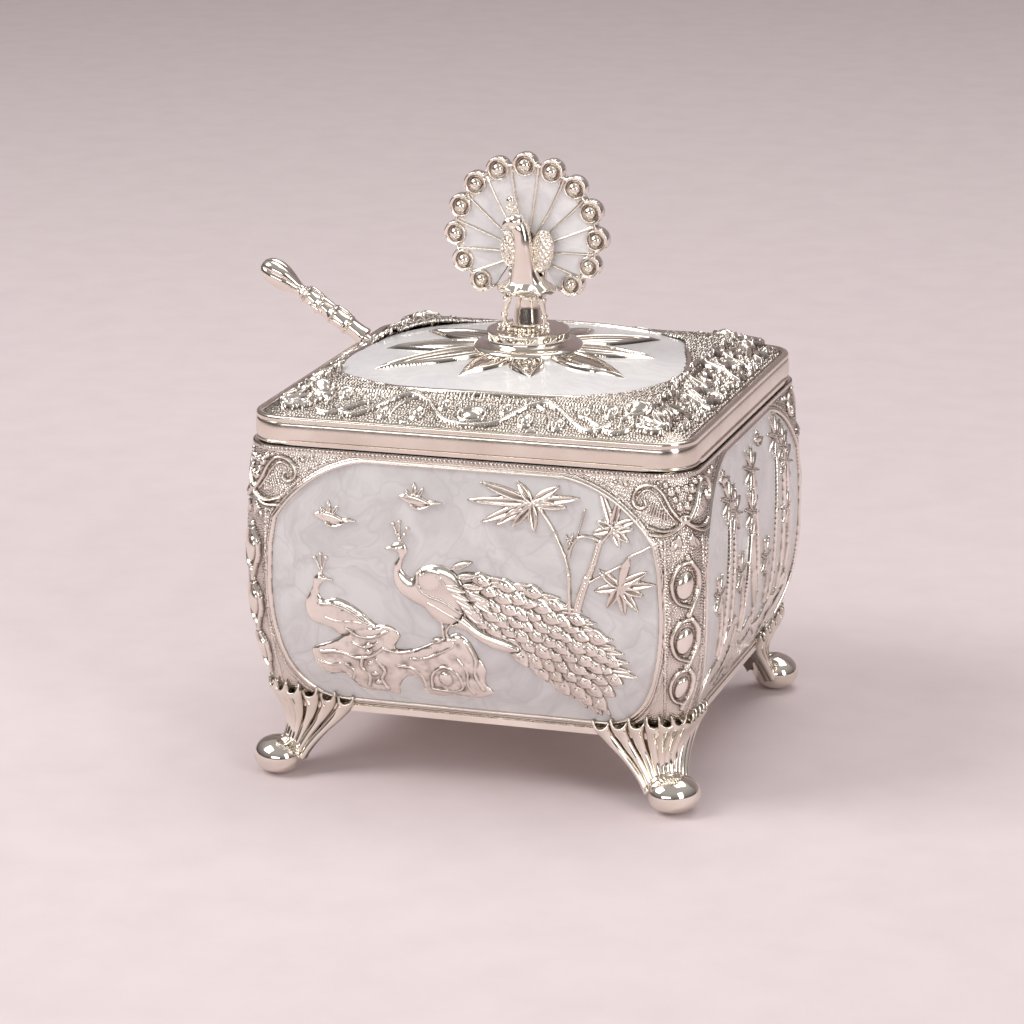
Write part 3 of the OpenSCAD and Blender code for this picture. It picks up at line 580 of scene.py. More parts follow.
def great_peacock(cv):
    train(cv, (1.5, 52.4), (34.0, 31.2), [3.6, 6.4, 8.2, 8.6, 8.0, 5.4], 4.7, 3)
    under = [(-3.6, 47.8), (0.6, 46.0), (5.0, 42.6), (10.0, 41.0), (13.6, 39.4), (13.8, 37.6), (9.0, 37.6),
             (4.4, 39.4), (0.2, 42.4), (-3.6, 43.2)]
    cv.plate(under, 1.15, 1.6, over=True)
    body = [(-18.2, 61.0), (-16.9, 62.4), (-15.1, 62.9), (-13.8, 62.2), (-13.5, 60.2), (-14.6, 58.0),
            (-14.6, 55.8), (-12.4, 54.2), (-10.6, 56.6), (-7.7, 57.9), (-4.2, 57.8), (-1.2, 56.0),
            (1.0, 52.0), (0.6, 47.0), (-1.0, 44.0), (-4.4, 43.2), (-7.2, 44.4), (-9.4, 46.9), (-13.1, 48.8),
            (-15.9, 50.8), (-17.0, 53.6), (-16.9, 57.1), (-15.6, 59.4), (-16.6, 60.3)]
    cv.plate(body, 1.15, 3.0, over=True)
    cv.leaf(-16.9, 61.2, 186, 2.2, 0.9, 0.7, rib=0)
    cv.dome(-7.6, 54.2, 3.4, 3.0, 15, 0.5, base=0.85)
    for k in range(6):
        cv.curve([(-10.4 + k * 1.1, 56.0 - k * 0.2), (-9.4 + k * 1.2, 54.2 - k * 0.3),
                  (-9.9 + k * 1.3, 52.4 - k * 0.3)], 0.25, 0.22, base=1.12)
    cv.curve([(-10.8, 55.6), (-10.6, 52.6), (-8.2, 50.4), (-4.4, 49.2), (0.0, 46.6)], 0.5, 0.5, base=0.95)
    cv.curve([(-8.4, 48.6), (-4.4, 46.6), (0.0, 44.4), (5.0, 41.2), (12.6, 38.8)], 0.4, 0.3, base=1.0)
    for k in range(5):
        cv.leaf(-2.4 + k * 1.4, 57.4 - k * 1.9, 20 - k * 12, 5.6, 1.6, 0.7, rib=0.4, base=0.75)
        cv.leaf(-3.8 + k * 1.2, 53.0 - k * 1.4, -12 - k * 7, 5.2, 1.7, 0.6, rib=0.35, base=0.85)
    crest(cv, -15.4, 62.8, [(-17.0, 67.0), (-15.4, 67.6), (-13.4, 66.2), (-16.0, 64.6), (-14.2, 64.6)])
    cv.dome(-15.9, 61.2, 0.32, 0.32, 0, 0.5, base=0.8)
    for x0, x1 in ((-5.2, -5.0), (-2.4, -4.0)):
        cv.curve([(x0, 44.0), (x1, 41.8), (x1 + 0.1, 39.6)], 0.7, 0.8)
    for x, a in ((-5.0, 205), (-5.0, 180), (-4.0, -20), (-4.0, 5)):
        cv.leaf(x, 39.4, a, 2.6, 0.7, 0.75, rib=0, base=0.5)


def front_scene(cv):
    """Peafowl on a rock under bamboo."""
    rock(cv)
    peahen(cv)
    small_bird(cv, -32.6, 68.0, 1.2)
    small_bird(cv, -11.2, 73.8, 1.2)
    bamboo_stem(cv, [(26.7, 47.5), (26.6, 54.5), (26.2, 59.9), (24.5, 64.7), (21.9, 69.8), (18.9, 73.8)],
                0.95, [(26.4, 58.2), (22.9, 68.0)])
    bamboo_leaves(cv, 17.2, 74.6, [(13.5, 79.4), (24.0, 79.0), (29.1, 76.5), (25.8, 74.0), (18.0, 67.5),
                                   (12.6, 68.5), (8.4, 68.6), (4.6, 69.0), (1.3, 74.1), (4.3, 78.6)])
    bamboo_stem(cv, [(27.8, 47.2), (29.3, 53.1), (30.9, 57.6)], 2.0, [(31.0, 57.8)])
    bamboo_stem(cv, [(31.4, 58.4), (32.6, 62.0), (33.8, 66.4)], 1.7, [(33.8, 66.6)])
    bamboo_stem(cv, [(33.8, 66.4), (35.4, 68.0), (36.9, 70.0)], 1.1)
    bamboo_stem(cv, [(34.6, 66.6), (32.4, 67.5), (29.5, 67.6), (27.4, 65.6), (26.5, 62.6)], 0.8)
    bamboo_leaves(cv, 36.9, 70.0, [(33.8, 79.1), (38.4, 77.3), (43.1, 72.8), (42.1, 70.2), (41.1, 67.1),
                                   (38.9, 65.6), (32.0, 68.4), (33.2, 71.6)], 2.3)
    bamboo_leaves(cv, 26.6, 63.4, [(25.9, 68.0), (27.4, 68.6)], 0.8)
    bamboo_stem(cv, [(28.4, 67.4), (29.4, 70.8), (30.2, 73.9)], 0.5)
    bamboo_stem(cv, [(47.6, 67.4), (44.4, 65.4), (41.4, 63.8), (39.1, 61.4), (35.4, 59.2), (31.6, 56.8)],
                0.75)
    bamboo_leaves(cv, 38.7, 56.2, [(45.6, 60.6), (47.6, 57.6), (44.7, 54.6), (43.3, 50.7), (40.1, 49.4),
                                   (35.8, 50.9), (32.5, 54.8), (33.6, 60.2)], 2.5)
    cv.leaf(41.0, 63.8, -106, 8.2, 2.3, 0.95, rib=0.2)
    great_peacock(cv)


def side_scene(cv):
    """Garden of bamboo, blossom and a ledge of rock on a narrow side."""
    edge = [(-30, 21.0), (-36, 24.0), (-33, 30.5), (-26, 33.0), (-22, 38.5), (-16, 40.0), (-13.5, 35.5),
            (-6, 33.0), (0, 34.8), (4.5, 31.0), (12, 30.4), (18, 34.0), (24, 33.2), (29, 36.8), (35, 35.4),
            (38, 31.0), (34, 27.0), (31, 23.0), (22, 25.4), (14, 21.6), (4, 23.6), (-6, 21.0), (-16, 24.0)]
    cv.plate(edge, 0.75, 1.2, grain=0.09)
    for pts in ([(-30, 27), (-24, 28.5), (-19, 33), (-17, 37.6)], [(-10, 31), (-4, 29), (2, 30.6),
                                                                   (8, 27.4)], [(14, 25), (19, 29),
                                                                                (25, 30), (31, 33)],
                [(-24, 24), (-18, 27), (-12, 25)]):
        cv.curve(pts, 0.5, 0.4, base=0.7)
    for x, lean, top, wd in ((-27, 5, 70, 1.0), (-21, 3, 66, 1.3), (-9, 6, 62, 1.0), (3, -4, 72, 1.0),
                             (18, 5, 74, 1.5), (26, 2, 70, 1.1), (33, -3, 66, 0.9)):
        mid = (30 + top) / 2
        bamboo_stem(cv, [(x, 32), (x + lean * 0.3, mid), (x + lean, top)], wd,
                    [(x + lean * 0.15, 40), (x + lean * 0.4, mid + 4)])
        tips = [(x + lean + 6.5 * math.cos(math.radians(a)),
                 top + 6.0 * math.sin(math.radians(a))) for a in range(-60, 250, 44)]
        bamboo_leaves(cv, x + lean, top, tips, 1.3)
    for x, z in ((-33, 50), (-14, 50), (10, 47), (29, 54)):
        tips = [(x + 4.4 * math.cos(math.radians(a)),
                 z + 5.4 * math.sin(math.radians(a))) for a in range(10, 360, 52)]
        bamboo_leaves(cv, x, z, tips, 1.4)
        bamboo_stem(cv, [(x, z), (x + 2.5, z - 7), (x + 3, 34)], 0.7)
    crest(cv, -3.0, 54, [(-5.4, 60.5), (-3, 61.6), (-0.6, 60.5)])
    cv.dome(-2.6, 50.6, 2.0, 4.6, 12, 0.9)
    cv.leaf(-2.0, 48, -66, 15, 4.2, 0.85, rib=0.3)
    small_bird(cv, -24, 76, 0.9)
    small_bird(cv, 8, 77.4, 0.8)


# ---------------------------------------------------------------- materials
def new_material(name):
    m = bpy.data.materials.new(name)
    m.use_nodes = True
    nt = m.node_tree
    nt.nodes.clear()
    out = nt.nodes.new("ShaderNodeOutputMaterial")
    bs = nt.nodes.new("ShaderNodeBsdfPrincipled")
    nt.links.new(bs.outputs[0], out.inputs[0])
    return m, nt, bs


def node(nt, kind, **inputs):
    n = nt.nodes.new(kind)
    for key, value in inputs.items():
        n.inputs[key.replace("_", " ")].default_value = value
    return n


def ramp(nt, stops):
    n = nt.nodes.new("ShaderNodeValToRGB")
    cr = n.color_ramp
    while len(cr.elements) < len(stops):
        cr.elements.new(0.5)
    for e, (pos, col) in zip(cr.elements, stops):
        e.position = pos
        e.color = (*col, 1) if len(col) == 3 else col
    return n


def silver(name, tint, dark, rough, wear_scale=900.0, bump=0.02):
    """Polished silver plate: slow tarnish clouds, fine wear in the roughness, faint hammer waves, and painted
    shade: the mesh's 'hollow' attribute mixes the colour towards a dark brown.
    """
    m, nt, bs = new_material(name)
    link = nt.links.new
    co = nt.nodes.new("ShaderNodeTexCoord")
    slow = node(nt, "ShaderNodeTexNoise", Scale=60.0, Detail=4.0, Roughness=0.55)
    fine = node(nt, "ShaderNodeTexNoise", Scale=wear_scale, Detail=3.0, Roughness=0.6)
    for n in (slow, fine):
        link(co.outputs["Object"], n.inputs["Vector"])
    col = ramp(nt, [(0.30, dark), (0.62, tint)])
    link(slow.outputs["Fac"], col.inputs["Fac"])
    # painted shade: the 'hollow' attribute darkens the colour towards a dark brown in the relief's hollows
    at = nt.nodes.new("ShaderNodeAttribute")
    at.attribute_name = "hollow"
    painted_shade_mix = nt.nodes.new("ShaderNodeMix")
    painted_shade_mix.data_type = "RGBA"
    painted_shade_mix.inputs["B"].default_value = (0.19, 0.145, 0.115, 1)
    link(at.outputs["Fac"], painted_shade_mix.inputs["Factor"])
    link(col.outputs["Color"], painted_shade_mix.inputs["A"])
    link(painted_shade_mix.outputs["Result"], bs.inputs["Base Color"])
    mr = nt.nodes.new("ShaderNodeMapRange")
    mr.inputs["To Min"].default_value = rough * 0.7
    mr.inputs["To Max"].default_value = rough * 1.5
    link(fine.outputs["Fac"], mr.inputs["Value"])
    link(mr.outputs["Result"], bs.inputs["Roughness"])
    bs.inputs["Metallic"].default_value = 1.0
    bp = nt.nodes.new("ShaderNodeBump")
    bp.inputs["Strength"].default_value = bump
    bp.inputs["Distance"].default_value = 0.001
    link(slow.outputs["Fac"], bp.inputs["Height"])
    link(bp.outputs["Normal"], bs.inputs["Normal"])
    return m


def pearl(name, pale, shade, line, swirl_scale):
    """Swirled pearl enamel: warped bands with thin grey threads under a glossy coat."""
    m, nt, bs = new_material(name)
    link = nt.links.new
    co = nt.nodes.new("ShaderNodeTexCoord")
    warp = node(nt, "ShaderNodeTexNoise", Scale=swirl_scale, Detail=3.0, Roughness=0.5, Distortion=0.8)
    link(co.outputs["Object"], warp.inputs["Vector"])
    mix = nt.nodes.new("ShaderNodeVectorMath")
    mix.operation = "MULTIPLY_ADD"
    mix.inputs[1].default_value = (0.035, 0.035, 0.035)
    link(warp.outputs["Color"], mix.inputs[0])
    link(co.outputs["Object"], mix.inputs[2])
    threads = node(nt, "ShaderNodeTexVoronoi", Scale=swirl_scale * 1.3)
    threads.feature = "DISTANCE_TO_EDGE"
    soft = node(nt, "ShaderNodeTexNoise", Scale=swirl_scale * 0.8, Detail=5.0, Roughness=0.6, Distortion=2.2)
    for n in (threads, soft):
        link(mix.outputs[0], n.inputs["Vector"])
    body = ramp(nt, [(0.36, shade), (0.62, pale)])
    link(soft.outputs["Fac"], body.inputs["Fac"])
    thread = ramp(nt, [(0.0, (1, 1, 1)), (0.035, (0, 0, 0))])
    link(threads.outputs["Distance"], thread.inputs["Fac"])
    both = nt.nodes.new("ShaderNodeMix")
    both.data_type = "RGBA"
    damp = nt.nodes.new("ShaderNodeMath")
    damp.operation = "MULTIPLY"
    damp.inputs[1].default_value = 0.35
    link(thread.outputs["Color"], damp.inputs[0])
    link(damp.outputs[0], both.inputs["Factor"])
    link(body.outputs["Color"], both.inputs["A"])
    both.inputs["B"].default_value = (*line, 1)
    link(both.outputs["Result"], bs.inputs["Base Color"])
    bs.inputs["Roughness"].default_value = 0.28
    bs.inputs["Coat Weight"].default_value = 0.6
    bs.inputs["Coat Roughness"].default_value = 0.08
    bs.inputs["Sheen Weight"].default_value = 0.15
    return m


SILVER = silver("silver_polished", (0.94, 0.878, 0.80), (0.82, 0.75, 0.67), 0.09)
CAST = silver("silver_cast", (0.94, 0.875, 0.81), (0.80, 0.73, 0.66), 0.17, 1500.0, 0.05)
# the band's tint is darker than the other polished silver: painted shade for the darker reflections on its
# upright face
BAND = silver("silver_band", (0.86, 0.79, 0.71), (0.72, 0.64, 0.56), 0.15, 700.0, 0.07)
# the panel enamel is greyer than the fan's enamel of the same finish; the grey is painted shade for the walls
PEARL = pearl("pearl_panel", (0.70, 0.69, 0.69), (0.58, 0.56, 0.565), (0.48, 0.46, 0.465), 42.0)
FAN_PEARL = pearl("pearl_fan", (0.86, 0.85, 0.86), (0.74, 0.725, 0.735), (0.64, 0.625, 0.63), 60.0)
DOME = pearl("pearl_dome", (0.90, 0.89, 0.90), (0.80, 0.79, 0.81), (0.70, 0.69, 0.71), 60.0)
STEEL = silver("liner_brushed", (0.72, 0.72, 0.74), (0.60, 0.60, 0.62), 0.32, 2500.0, 0.03)


def finish_piece(ob, mat, body, slot, *nodes):
    ob.data.materials.clear()
    ob.data.materials.append(mat)
    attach(ob, body)
    if nodes:
        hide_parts(*nodes)
    return ob


# ---------------------------------------------------------------- body walls
STEP = 0.17
STILE_TRIM = 3.0
STILE_HALF = CORNER_ARC / 2 - STILE_TRIM
cv = Canvas((0.0, WALL_LOW), (S_END, RIM_TOP), STEP)
WINDOWS = (("left", S_LEFT, SIDE_HALF), ("front", S_FRONT, WINDOW_HALF), ("right", S_RIGHT, SIDE_HALF),
           ("back", S_BACK, WINDOW_HALF))
for _, s0, half in WINDOWS:
    frame_and_ground(cv, s0, half)
for s0 in (0.0, S_FL, S_FR, S_BR, S_END):
    stile(cv, s0)
for scene, s0, flip in ((front_scene, S_FRONT, 1), (front_scene, S_BACK, 1), (side_scene, S_RIGHT, 1),
                        (side_scene, S_LEFT, -1)):
    cv.at(s0, flip)
    scene(cv)
# painted shade of the walls: darker in the relief's hollows and in the grooves of the hatching
rim_row, rim_painted_shade = rim_strip(cv)
deep = cavity(cv.h, STEP)
deep[rim_row:] = rim_painted_shade


def wall_piece(name, s0, s1, z0, z1, *nodes):
    """Cuts the canvas between two places round the body and lays it on the swelling wall."""
    i0, i1 = np.searchsorted(cv.x, [s0 - 1e-6, s1 + 1e-6])
    j0, j1 = np.searchsorted(cv.z, [z0 - 1e-6, z1 + 1e-6])
    i1, j1 = min(i1 + 1, len(cv.x)), min(j1 + 1, len(cv.z))
    h = cv.h[j0:j1, i0:i1]
    px, py, nx, ny = plan(cv.x[i0:i1])
    z = cv.z[j0:j1]
    r = (BAND_R + swell(z) if z0 < WALL_TOP else np.full(len(z), RIM_R))[:, None] + h
    ob = make_mesh(name, sheet(px + nx * r, py + ny * r, z[:, None]), grid_faces(*h.shape, any_high(h)),
                   deep[j0:j1, i0:i1].ravel())
    finish_piece(ob, CAST, "bowl", "cast_silver", *nodes)


for name, a, b in (("left", 0, S_FL), ("front", S_FL, S_FR), ("right", S_FR, S_BR), ("back", S_BR, S_END)):
    wall_piece("relief_" + name, a + STILE_HALF, b - STILE_HALF, WALL_LOW, WALL_TOP, "relief_" + name)
for name, a in (("front_left", S_FL), ("front_right", S_FR), ("back_right", S_BR)):
    wall_piece("stile_" + name, a - STILE_HALF, a + STILE_HALF, WALL_LOW, WALL_TOP, "stile_" + name)
wall_piece("stile_back_left_a", 0, STILE_HALF, WALL_LOW, WALL_TOP, "stile_back_left")
wall_piece("stile_back_left_b", S_END - STILE_HALF, S_END, WALL_LOW, WALL_TOP)
wall_piece("rim_hatching", 0, S_END, WALL_TOP, RIM_TOP)

for name, s0, half in WINDOWS:
    x = np.arange(s0 - half + 0.2, s0 + half, 0.8)
    z = np.arange(WINDOW_LOW + 0.3, WINDOW_HIGH, 0.8)
    d = outline_distance(window_outline(half), (x - s0)[None, :], z[:, None])
    px, py, nx, ny = plan(x)
    r = BAND_R + swell(z)[:, None] + 0.03
    ob = make_mesh("enamel_panel_" + name, sheet(px + nx * r, py + ny * r, z[:, None]),
                   grid_faces(*d.shape, all_four(d > 0.2)))
    finish_piece(ob, PEARL, "bowl", "pearl_enamel", "enamel_" + name)

# ---------------------------------------------------------------- lid
BAND_X, BAND_Y = 55.0, 50.0
DOME_R, DOME_TOP = 280.0, 98.5
SPOON_Y, NOTCH_W, NOTCH_DEEP = 28.0, 7.0, 9.0


def cushion_gap(x, y):
    """Distance outside (+) or inside (-) of the dome's cushion outline, drawn in at both sides."""
    t = np.linspace(0, 2 * np.pi, 360, endpoint=False)
    c, s, w = np.cos(t), np.sin(t), 1 + 0.010 * np.cos(8 * t)
    py = 35.6 * w * np.sign(s) * np.abs(s) ** 0.68
    px = 42.4 * w * np.sign(c) * np.abs(c) ** 0.68 - 2.2
    px = px - np.where(c > 0, 3.2 * np.exp(-((py - 15) / 14) ** 2), -2.0 * np.exp(-((py - 6) / 12) ** 2))
    return -outline_distance(np.stack([px, py], -1), x, y)


def band_inset(x, y):
    qx, qy = np.abs(x) - (BAND_X - BAND_R), np.abs(y) - (BAND_Y - BAND_R)
    return BAND_R - np.hypot(np.maximum(qx, 0), np.maximum(qy, 0)) - np.minimum(np.maximum(qx, qy), 0)


def dome_height(x, y):
    return DOME_TOP - DOME_R + np.sqrt(DOME_R ** 2 - x ** 2 - y ** 2)


def hip_height(inset):
    return np.interp(inset, [2.2, 3.0, 12.0, 12.7, 19.0], [89.9, 90.1, 94.4, 95.3, 96.0])


def in_notch(x, y, grow=0.0):
    end = -BAND_X + NOTCH_DEEP - NOTCH_W / 2
    side = (x < end) & (np.abs(y - SPOON_Y) < NOTCH_W / 2 + grow)
    return side | (np.hypot(x - end, y - SPOON_Y) < NOTCH_W / 2 + grow)


def lid_corner(cv):
    """Cluster of stones, leaves and curls in one corner of the lid."""
    cv.curve([(27.6, 41.6), (31.0, 43.9), (34.4, 45.6), (37.8, 45.2), (39.4, 43.0), (38.2, 41.0),
              (36.2, 41.4), (36.4, 43.0)], 0.8, 0.95, groove=0.25)
    cv.dome(39.4, 37.6, 2.3, 1.35, -24, 1.3, rim=0.6)
    cv.dome(45.4, 35.6, 1.5, 1.2, 60, 1.2, rim=0.55)
    cv.dome(33.0, 39.2, 1.0, 1.0, 0, 1.1, rim=0.5)
    cv.blade(40.6, 41.0, 30, 7.8, 2.9, 1.25, 0.5)
    cv.blade(40.2, 43.6, 4, 6.4, 1.9, 1.05, -0.4)
    cv.blade(43.2, 38.4, 46, 6.6, 2.7, 1.2, 0.4)
    cv.blade(46.4, 37.8, 70, 5.4, 2.0, 1.1, 0.3)
    cv.blade(44.8, 32.6, -62, 6.2, 2.8, 1.2, 0.6)
    cv.curve([(50.6, 34.6), (49.0, 32.4), (49.4, 29.6), (51.0, 29.0)], 1.2, 1.15)
    for x, y, r in ((31.4, 46.4, 0.6), (49.8, 38.0, 0.9), (42.6, 35.0, 0.8), (36.6, 38.6, 0.7),
                    (46.4, 44.6, 0.6), (43.0, 31.0, 0.8), (41.6, 28.4, 0.9)):
        cv.dome(x, y, r, r, 0, 1.05)


def lid_front(cv):
    """Half of the long frieze: a wave vine with beads between a middle stone and the corner."""
    vine = spline([(0.0, 46.4), (3.4, 46.2), (6.8, 45.0), (9.6, 42.4), (12.2, 39.6), (15.4, 38.0),
                   (18.6, 38.4), (21.6, 40.6), (24.6, 43.2), (28.0, 45.4), (31.4, 45.4), (34.0, 43.4)])
    cv.line(vine, 0.95, 1.0, groove=0.42)
    cv.curve([(14.0, 38.1), (17.4, 40.4), (19.2, 43.4), (19.6, 45.8)], 0.4, 0.6)
    for x, y, r, rim in ((13.4, 43.8, 1.2, 0.5), (21.6, 44.4, 0.95, 0.5), (7.6, 40.4, 0.9, 0.4),
                         (26.6, 40.0, 0.8, 0.4), (3.6, 40.4, 0.6, 0)):
        cv.dome(x, y, r, r, 0, 1.15, rim=rim)
    cv.leaf(17.2, 46.4, 158, 3.0, 1.1, 0.7, rib=0.2)
    cv.leaf(28.8, 42.2, 205, 2.6, 1.1, 0.7, rib=0.2)
    for x in np.arange(1.4, 30, 1.05):
        cv.dome(x, 37.7 + 0.0016 * x * x, 0.32, 0.3, 0, 0.55)


def rosette(cv, x, y, petals, reach, size, turn):
    """Small flower: petals round a bead."""
    for k in range(petals):
        a = math.radians(360 / petals * k + turn)
        cv.dome(x + reach * math.cos(a), y + reach * math.sin(a), size * 1.1, size * 0.8, math.degrees(a),
                1.2)
    cv.dome(x, y, size * 0.8, size * 0.8, 0, 1.45)


def lid_side(cv):
    """Half of the narrow frieze: rosettes, fat curls and leaves."""
    rosette(cv, 48.6, 3.0, 6, 1.9, 0.95, 10)
    rosette(cv, 49.2, 23.6, 6, 1.8, 0.9, 0)
    rosette(cv, 42.4, 12.6, 5, 1.6, 0.85, 30)
    cv.curve([(41.0, 1.6), (41.6, 5.6), (44.6, 7.4), (47.2, 6.6), (47.0, 5.0)], 1.3, 1.25)
    cv.curve([(51.2, 7.6), (48.6, 8.6), (46.2, 11.0), (46.4, 14.6), (48.8, 15.8), (50.0, 14.2)], 1.35, 1.25)
    cv.curve([(51.0, 18.6), (48.6, 19.6), (45.6, 19.0), (43.4, 20.6), (42.8, 23.2)], 1.2, 1.2)
    cv.blade(41.2, 8.4, 18, 6.6, 2.5, 1.2, 0.5)
    cv.blade(44.6, 15.0, 32, 6.2, 2.4, 1.2, -0.4)
    cv.blade(41.6, 16.4, 60, 5.6, 2.3, 1.15, 0.5)
    cv.blade(45.2, 21.6, 76, 6.4, 2.5, 1.2, 0.5)
    cv.blade(50.2, 9.6, 96, 5.0, 1.9, 1.1, -0.4)
    cv.blade(44.4, 0.2, 66, 4.6, 1.9, 1.1, 0.4)
    for x, y, a, b, lean in ((44.2, 11.2, 0.9, 0.7, 0), (51.4, 17.4, 0.7, 0.8, 0),
                             (46.6, 25.8, 0.8, 0.9, 0), (42.2, 26.0, 1.0, 0.8, 40), (51.4, 6.0, 0.6, 0.8, 0)):
        cv.dome(x, y, a, b, lean, 1.15)


LSTEP = 0.19
lv = Canvas((-52.95, -47.95), (52.95, 47.95), LSTEP)
for flip in (1, -1):
    for tip in (1, -1):
        lv.at(0, flip, 0.35, tip)
        lid_front(lv)
        lid_side(lv)
        lid_corner(lv)
for tip in (-1, 1):
    lv.at(0, 1, 0.3, tip)
    lv.dome(0, 43.2, 2.5, 1.55, 0, 1.3, rim=0.6)
X, Y = lv.x[None, :], lv.z[:, None]
inset = band_inset(X, Y)
gap = np.full(inset.shape, -9.0)
for rows in (lv.z < 0, lv.z >= 0):
    gap[rows] = cushion_gap(X, lv.z[rows, None])
ground = 0.08 + 0.36 * stipple(X, Y, 0.74)
h = np.maximum(lv.h, ground)
h = h * unit((inset - 2.2) / 0.5)
z = hip_height(inset) + h
rim = dome_height(X, Y) + 0.1 + 0.45 * arch((gap - 0.6) / 0.6) - 4 * np.maximum(gap - 1.2, 0)
z = np.maximum(z, np.where(gap > -0.1, rim, 0))
fall = np.where(gap < 0, z + gap * 3, z)
keep = (gap > -0.25) & (inset > 2.25) & ~in_notch(X, Y, 0.25)
k4 = all_four(keep)
v = sheet(X, Y, fall)
# painted shade: darker in the frieze's hollows and all over the bare stippled ground between its ornaments
deep = cavity(np.minimum(z - hip_height(inset), 1.3), LSTEP)
deep = np.where(lv.h > 0.3, deep, 0.55 * deep + 0.3 * (gap > 1.2))
for name, part in (("lid_frieze_front", Y[:-1] < -30), ("lid_frieze_back", Y[:-1] > 30),
                   ("lid_frieze_right", (np.abs(Y[:-1]) <= 30) & (X[:, :-1] > 0)),
                   ("lid_frieze_left", (np.abs(Y[:-1]) <= 30) & (X[:, :-1] <= 0))):
    ob = make_mesh(name, v, grid_faces(*z.shape, k4 & part), deep.ravel())
    finish_piece(ob, CAST, "lid", "cast_silver", *(["lid_scroll"] if name.endswith("front") else []))


def ring_path(half_x, half_y, r, cut_from, cut_to, pitch=0.8):
    """Corner centres and outward directions round a rectangle, from one side of the notch to the other."""
    cx, cy = half_x - r, half_y - r
    pts = [(-cx, y, math.pi) for y in np.arange(cut_from, -cy, -pitch)]
    for k, (sx, sy) in enumerate(((-1, -1), (1, -1), (1, 1), (-1, 1))):
        first = math.pi + k * math.pi / 2
        pts += [(sx * cx, sy * cy, first + t) for t in np.linspace(0, math.pi / 2, 14)]
        if k == 0:
            pts += [(x, -cy, 1.5 * math.pi) for x in np.arange(-cx + pitch, cx, pitch)]
        elif k == 1:
            pts += [(cx, y, 2 * math.pi) for y in np.arange(-cy + pitch, cy, pitch)]
        elif k == 2:
            pts += [(x, cy, 2.5 * math.pi) for x in np.arange(cx - pitch, -cx, -pitch)]
    pts += [(-cx, y, 3 * math.pi) for y in np.arange(cy - pitch, cut_to, -pitch)]
    pts += [(-cx, cut_to, 3 * math.pi)]
    p = np.array(pts)
    return p[:, 0], p[:, 1], np.cos(p[:, 2]), np.sin(p[:, 2])


def ring_sweep(path, profile):
    """Closed section [(distance out from the corner centres, z), ...] swept along a path, ends capped."""
    cx, cy, nx, ny = path
    q = np.array(profile)
    r, z = q[None, :, 0], q[None, :, 1]
    v = np.stack([cx[:, None] + nx[:, None] * r, cy[:, None] + ny[:, None] * r, np.repeat(z, len(cx), 0)], -1)
    ends = [np.repeat(v[k:k + 1].mean(1, keepdims=True), len(q), 1) for k in (0, -1)]
    v = np.concatenate([ends[0], v, ends[1]])
    return v.reshape(-1, 3), grid_faces(len(v), len(q), wrap=True)


NOTCH_A, NOTCH_B = SPOON_Y - NOTCH_W / 2, SPOON_Y + NOTCH_W / 2
band = [(6.85, 83.9), (8.45, 83.82), (8.72, 83.95), (8.78, 84.2), (8.66, 84.42), (8.5, 84.5)]
band += [(8.56 + 0.24 * math.sin(math.pi * t) ** 0.8, 84.6 + 4.3 * t) for t in np.linspace(0.02, 0.98, 13)]
band += [(8.46, 89.0), (8.4, 89.12), (8.46, 89.26), (8.58, 89.5), (8.62, 89.85), (8.52, 90.25), (8.3, 90.5),
         (7.6, 90.55), (7.1, 90.4), (6.85, 90.1), (6.8, 89.7), (6.8, 86.0)]
lip = [(2.5, 83.8), (2.5, 81.0), (2.7, 80.65), (3.7, 80.65), (4.0, 80.9), (4.0, 83.8), (13.5, 83.8),
       (13.5, 84.75), (2.4, 84.75)]
v, f = merge([ring_sweep(ring_path(BAND_X, BAND_Y, BAND_R, NOTCH_A, NOTCH_B), band),
              ring_sweep(ring_path(45.5, 40.5, 4.0, NOTCH_A, NOTCH_B), lip)])
ob = make_mesh("band", v, f)
ob.modifiers.new("edges", "EDGE_SPLIT").split_angle = math.radians(50)
finish_piece(ob, BAND, "lid", "polished_silver", "lid_band")

# dome of enamel
x, y = np.arange(-44, 44.1, 0.8), np.arange(-39, 39.1, 0.8)
keep = cushion_gap(x[None, :], y[:, None]) < 0.5
z = dome_height(x[None, :], y[:, None]) + 0.02
ob = make_mesh("dome_enamel", sheet(x, y[:, None], z), grid_faces(*z.shape, all_four(keep)))
finish_piece(ob, DOME, "lid", "dome_enamel", "lid_enamel")

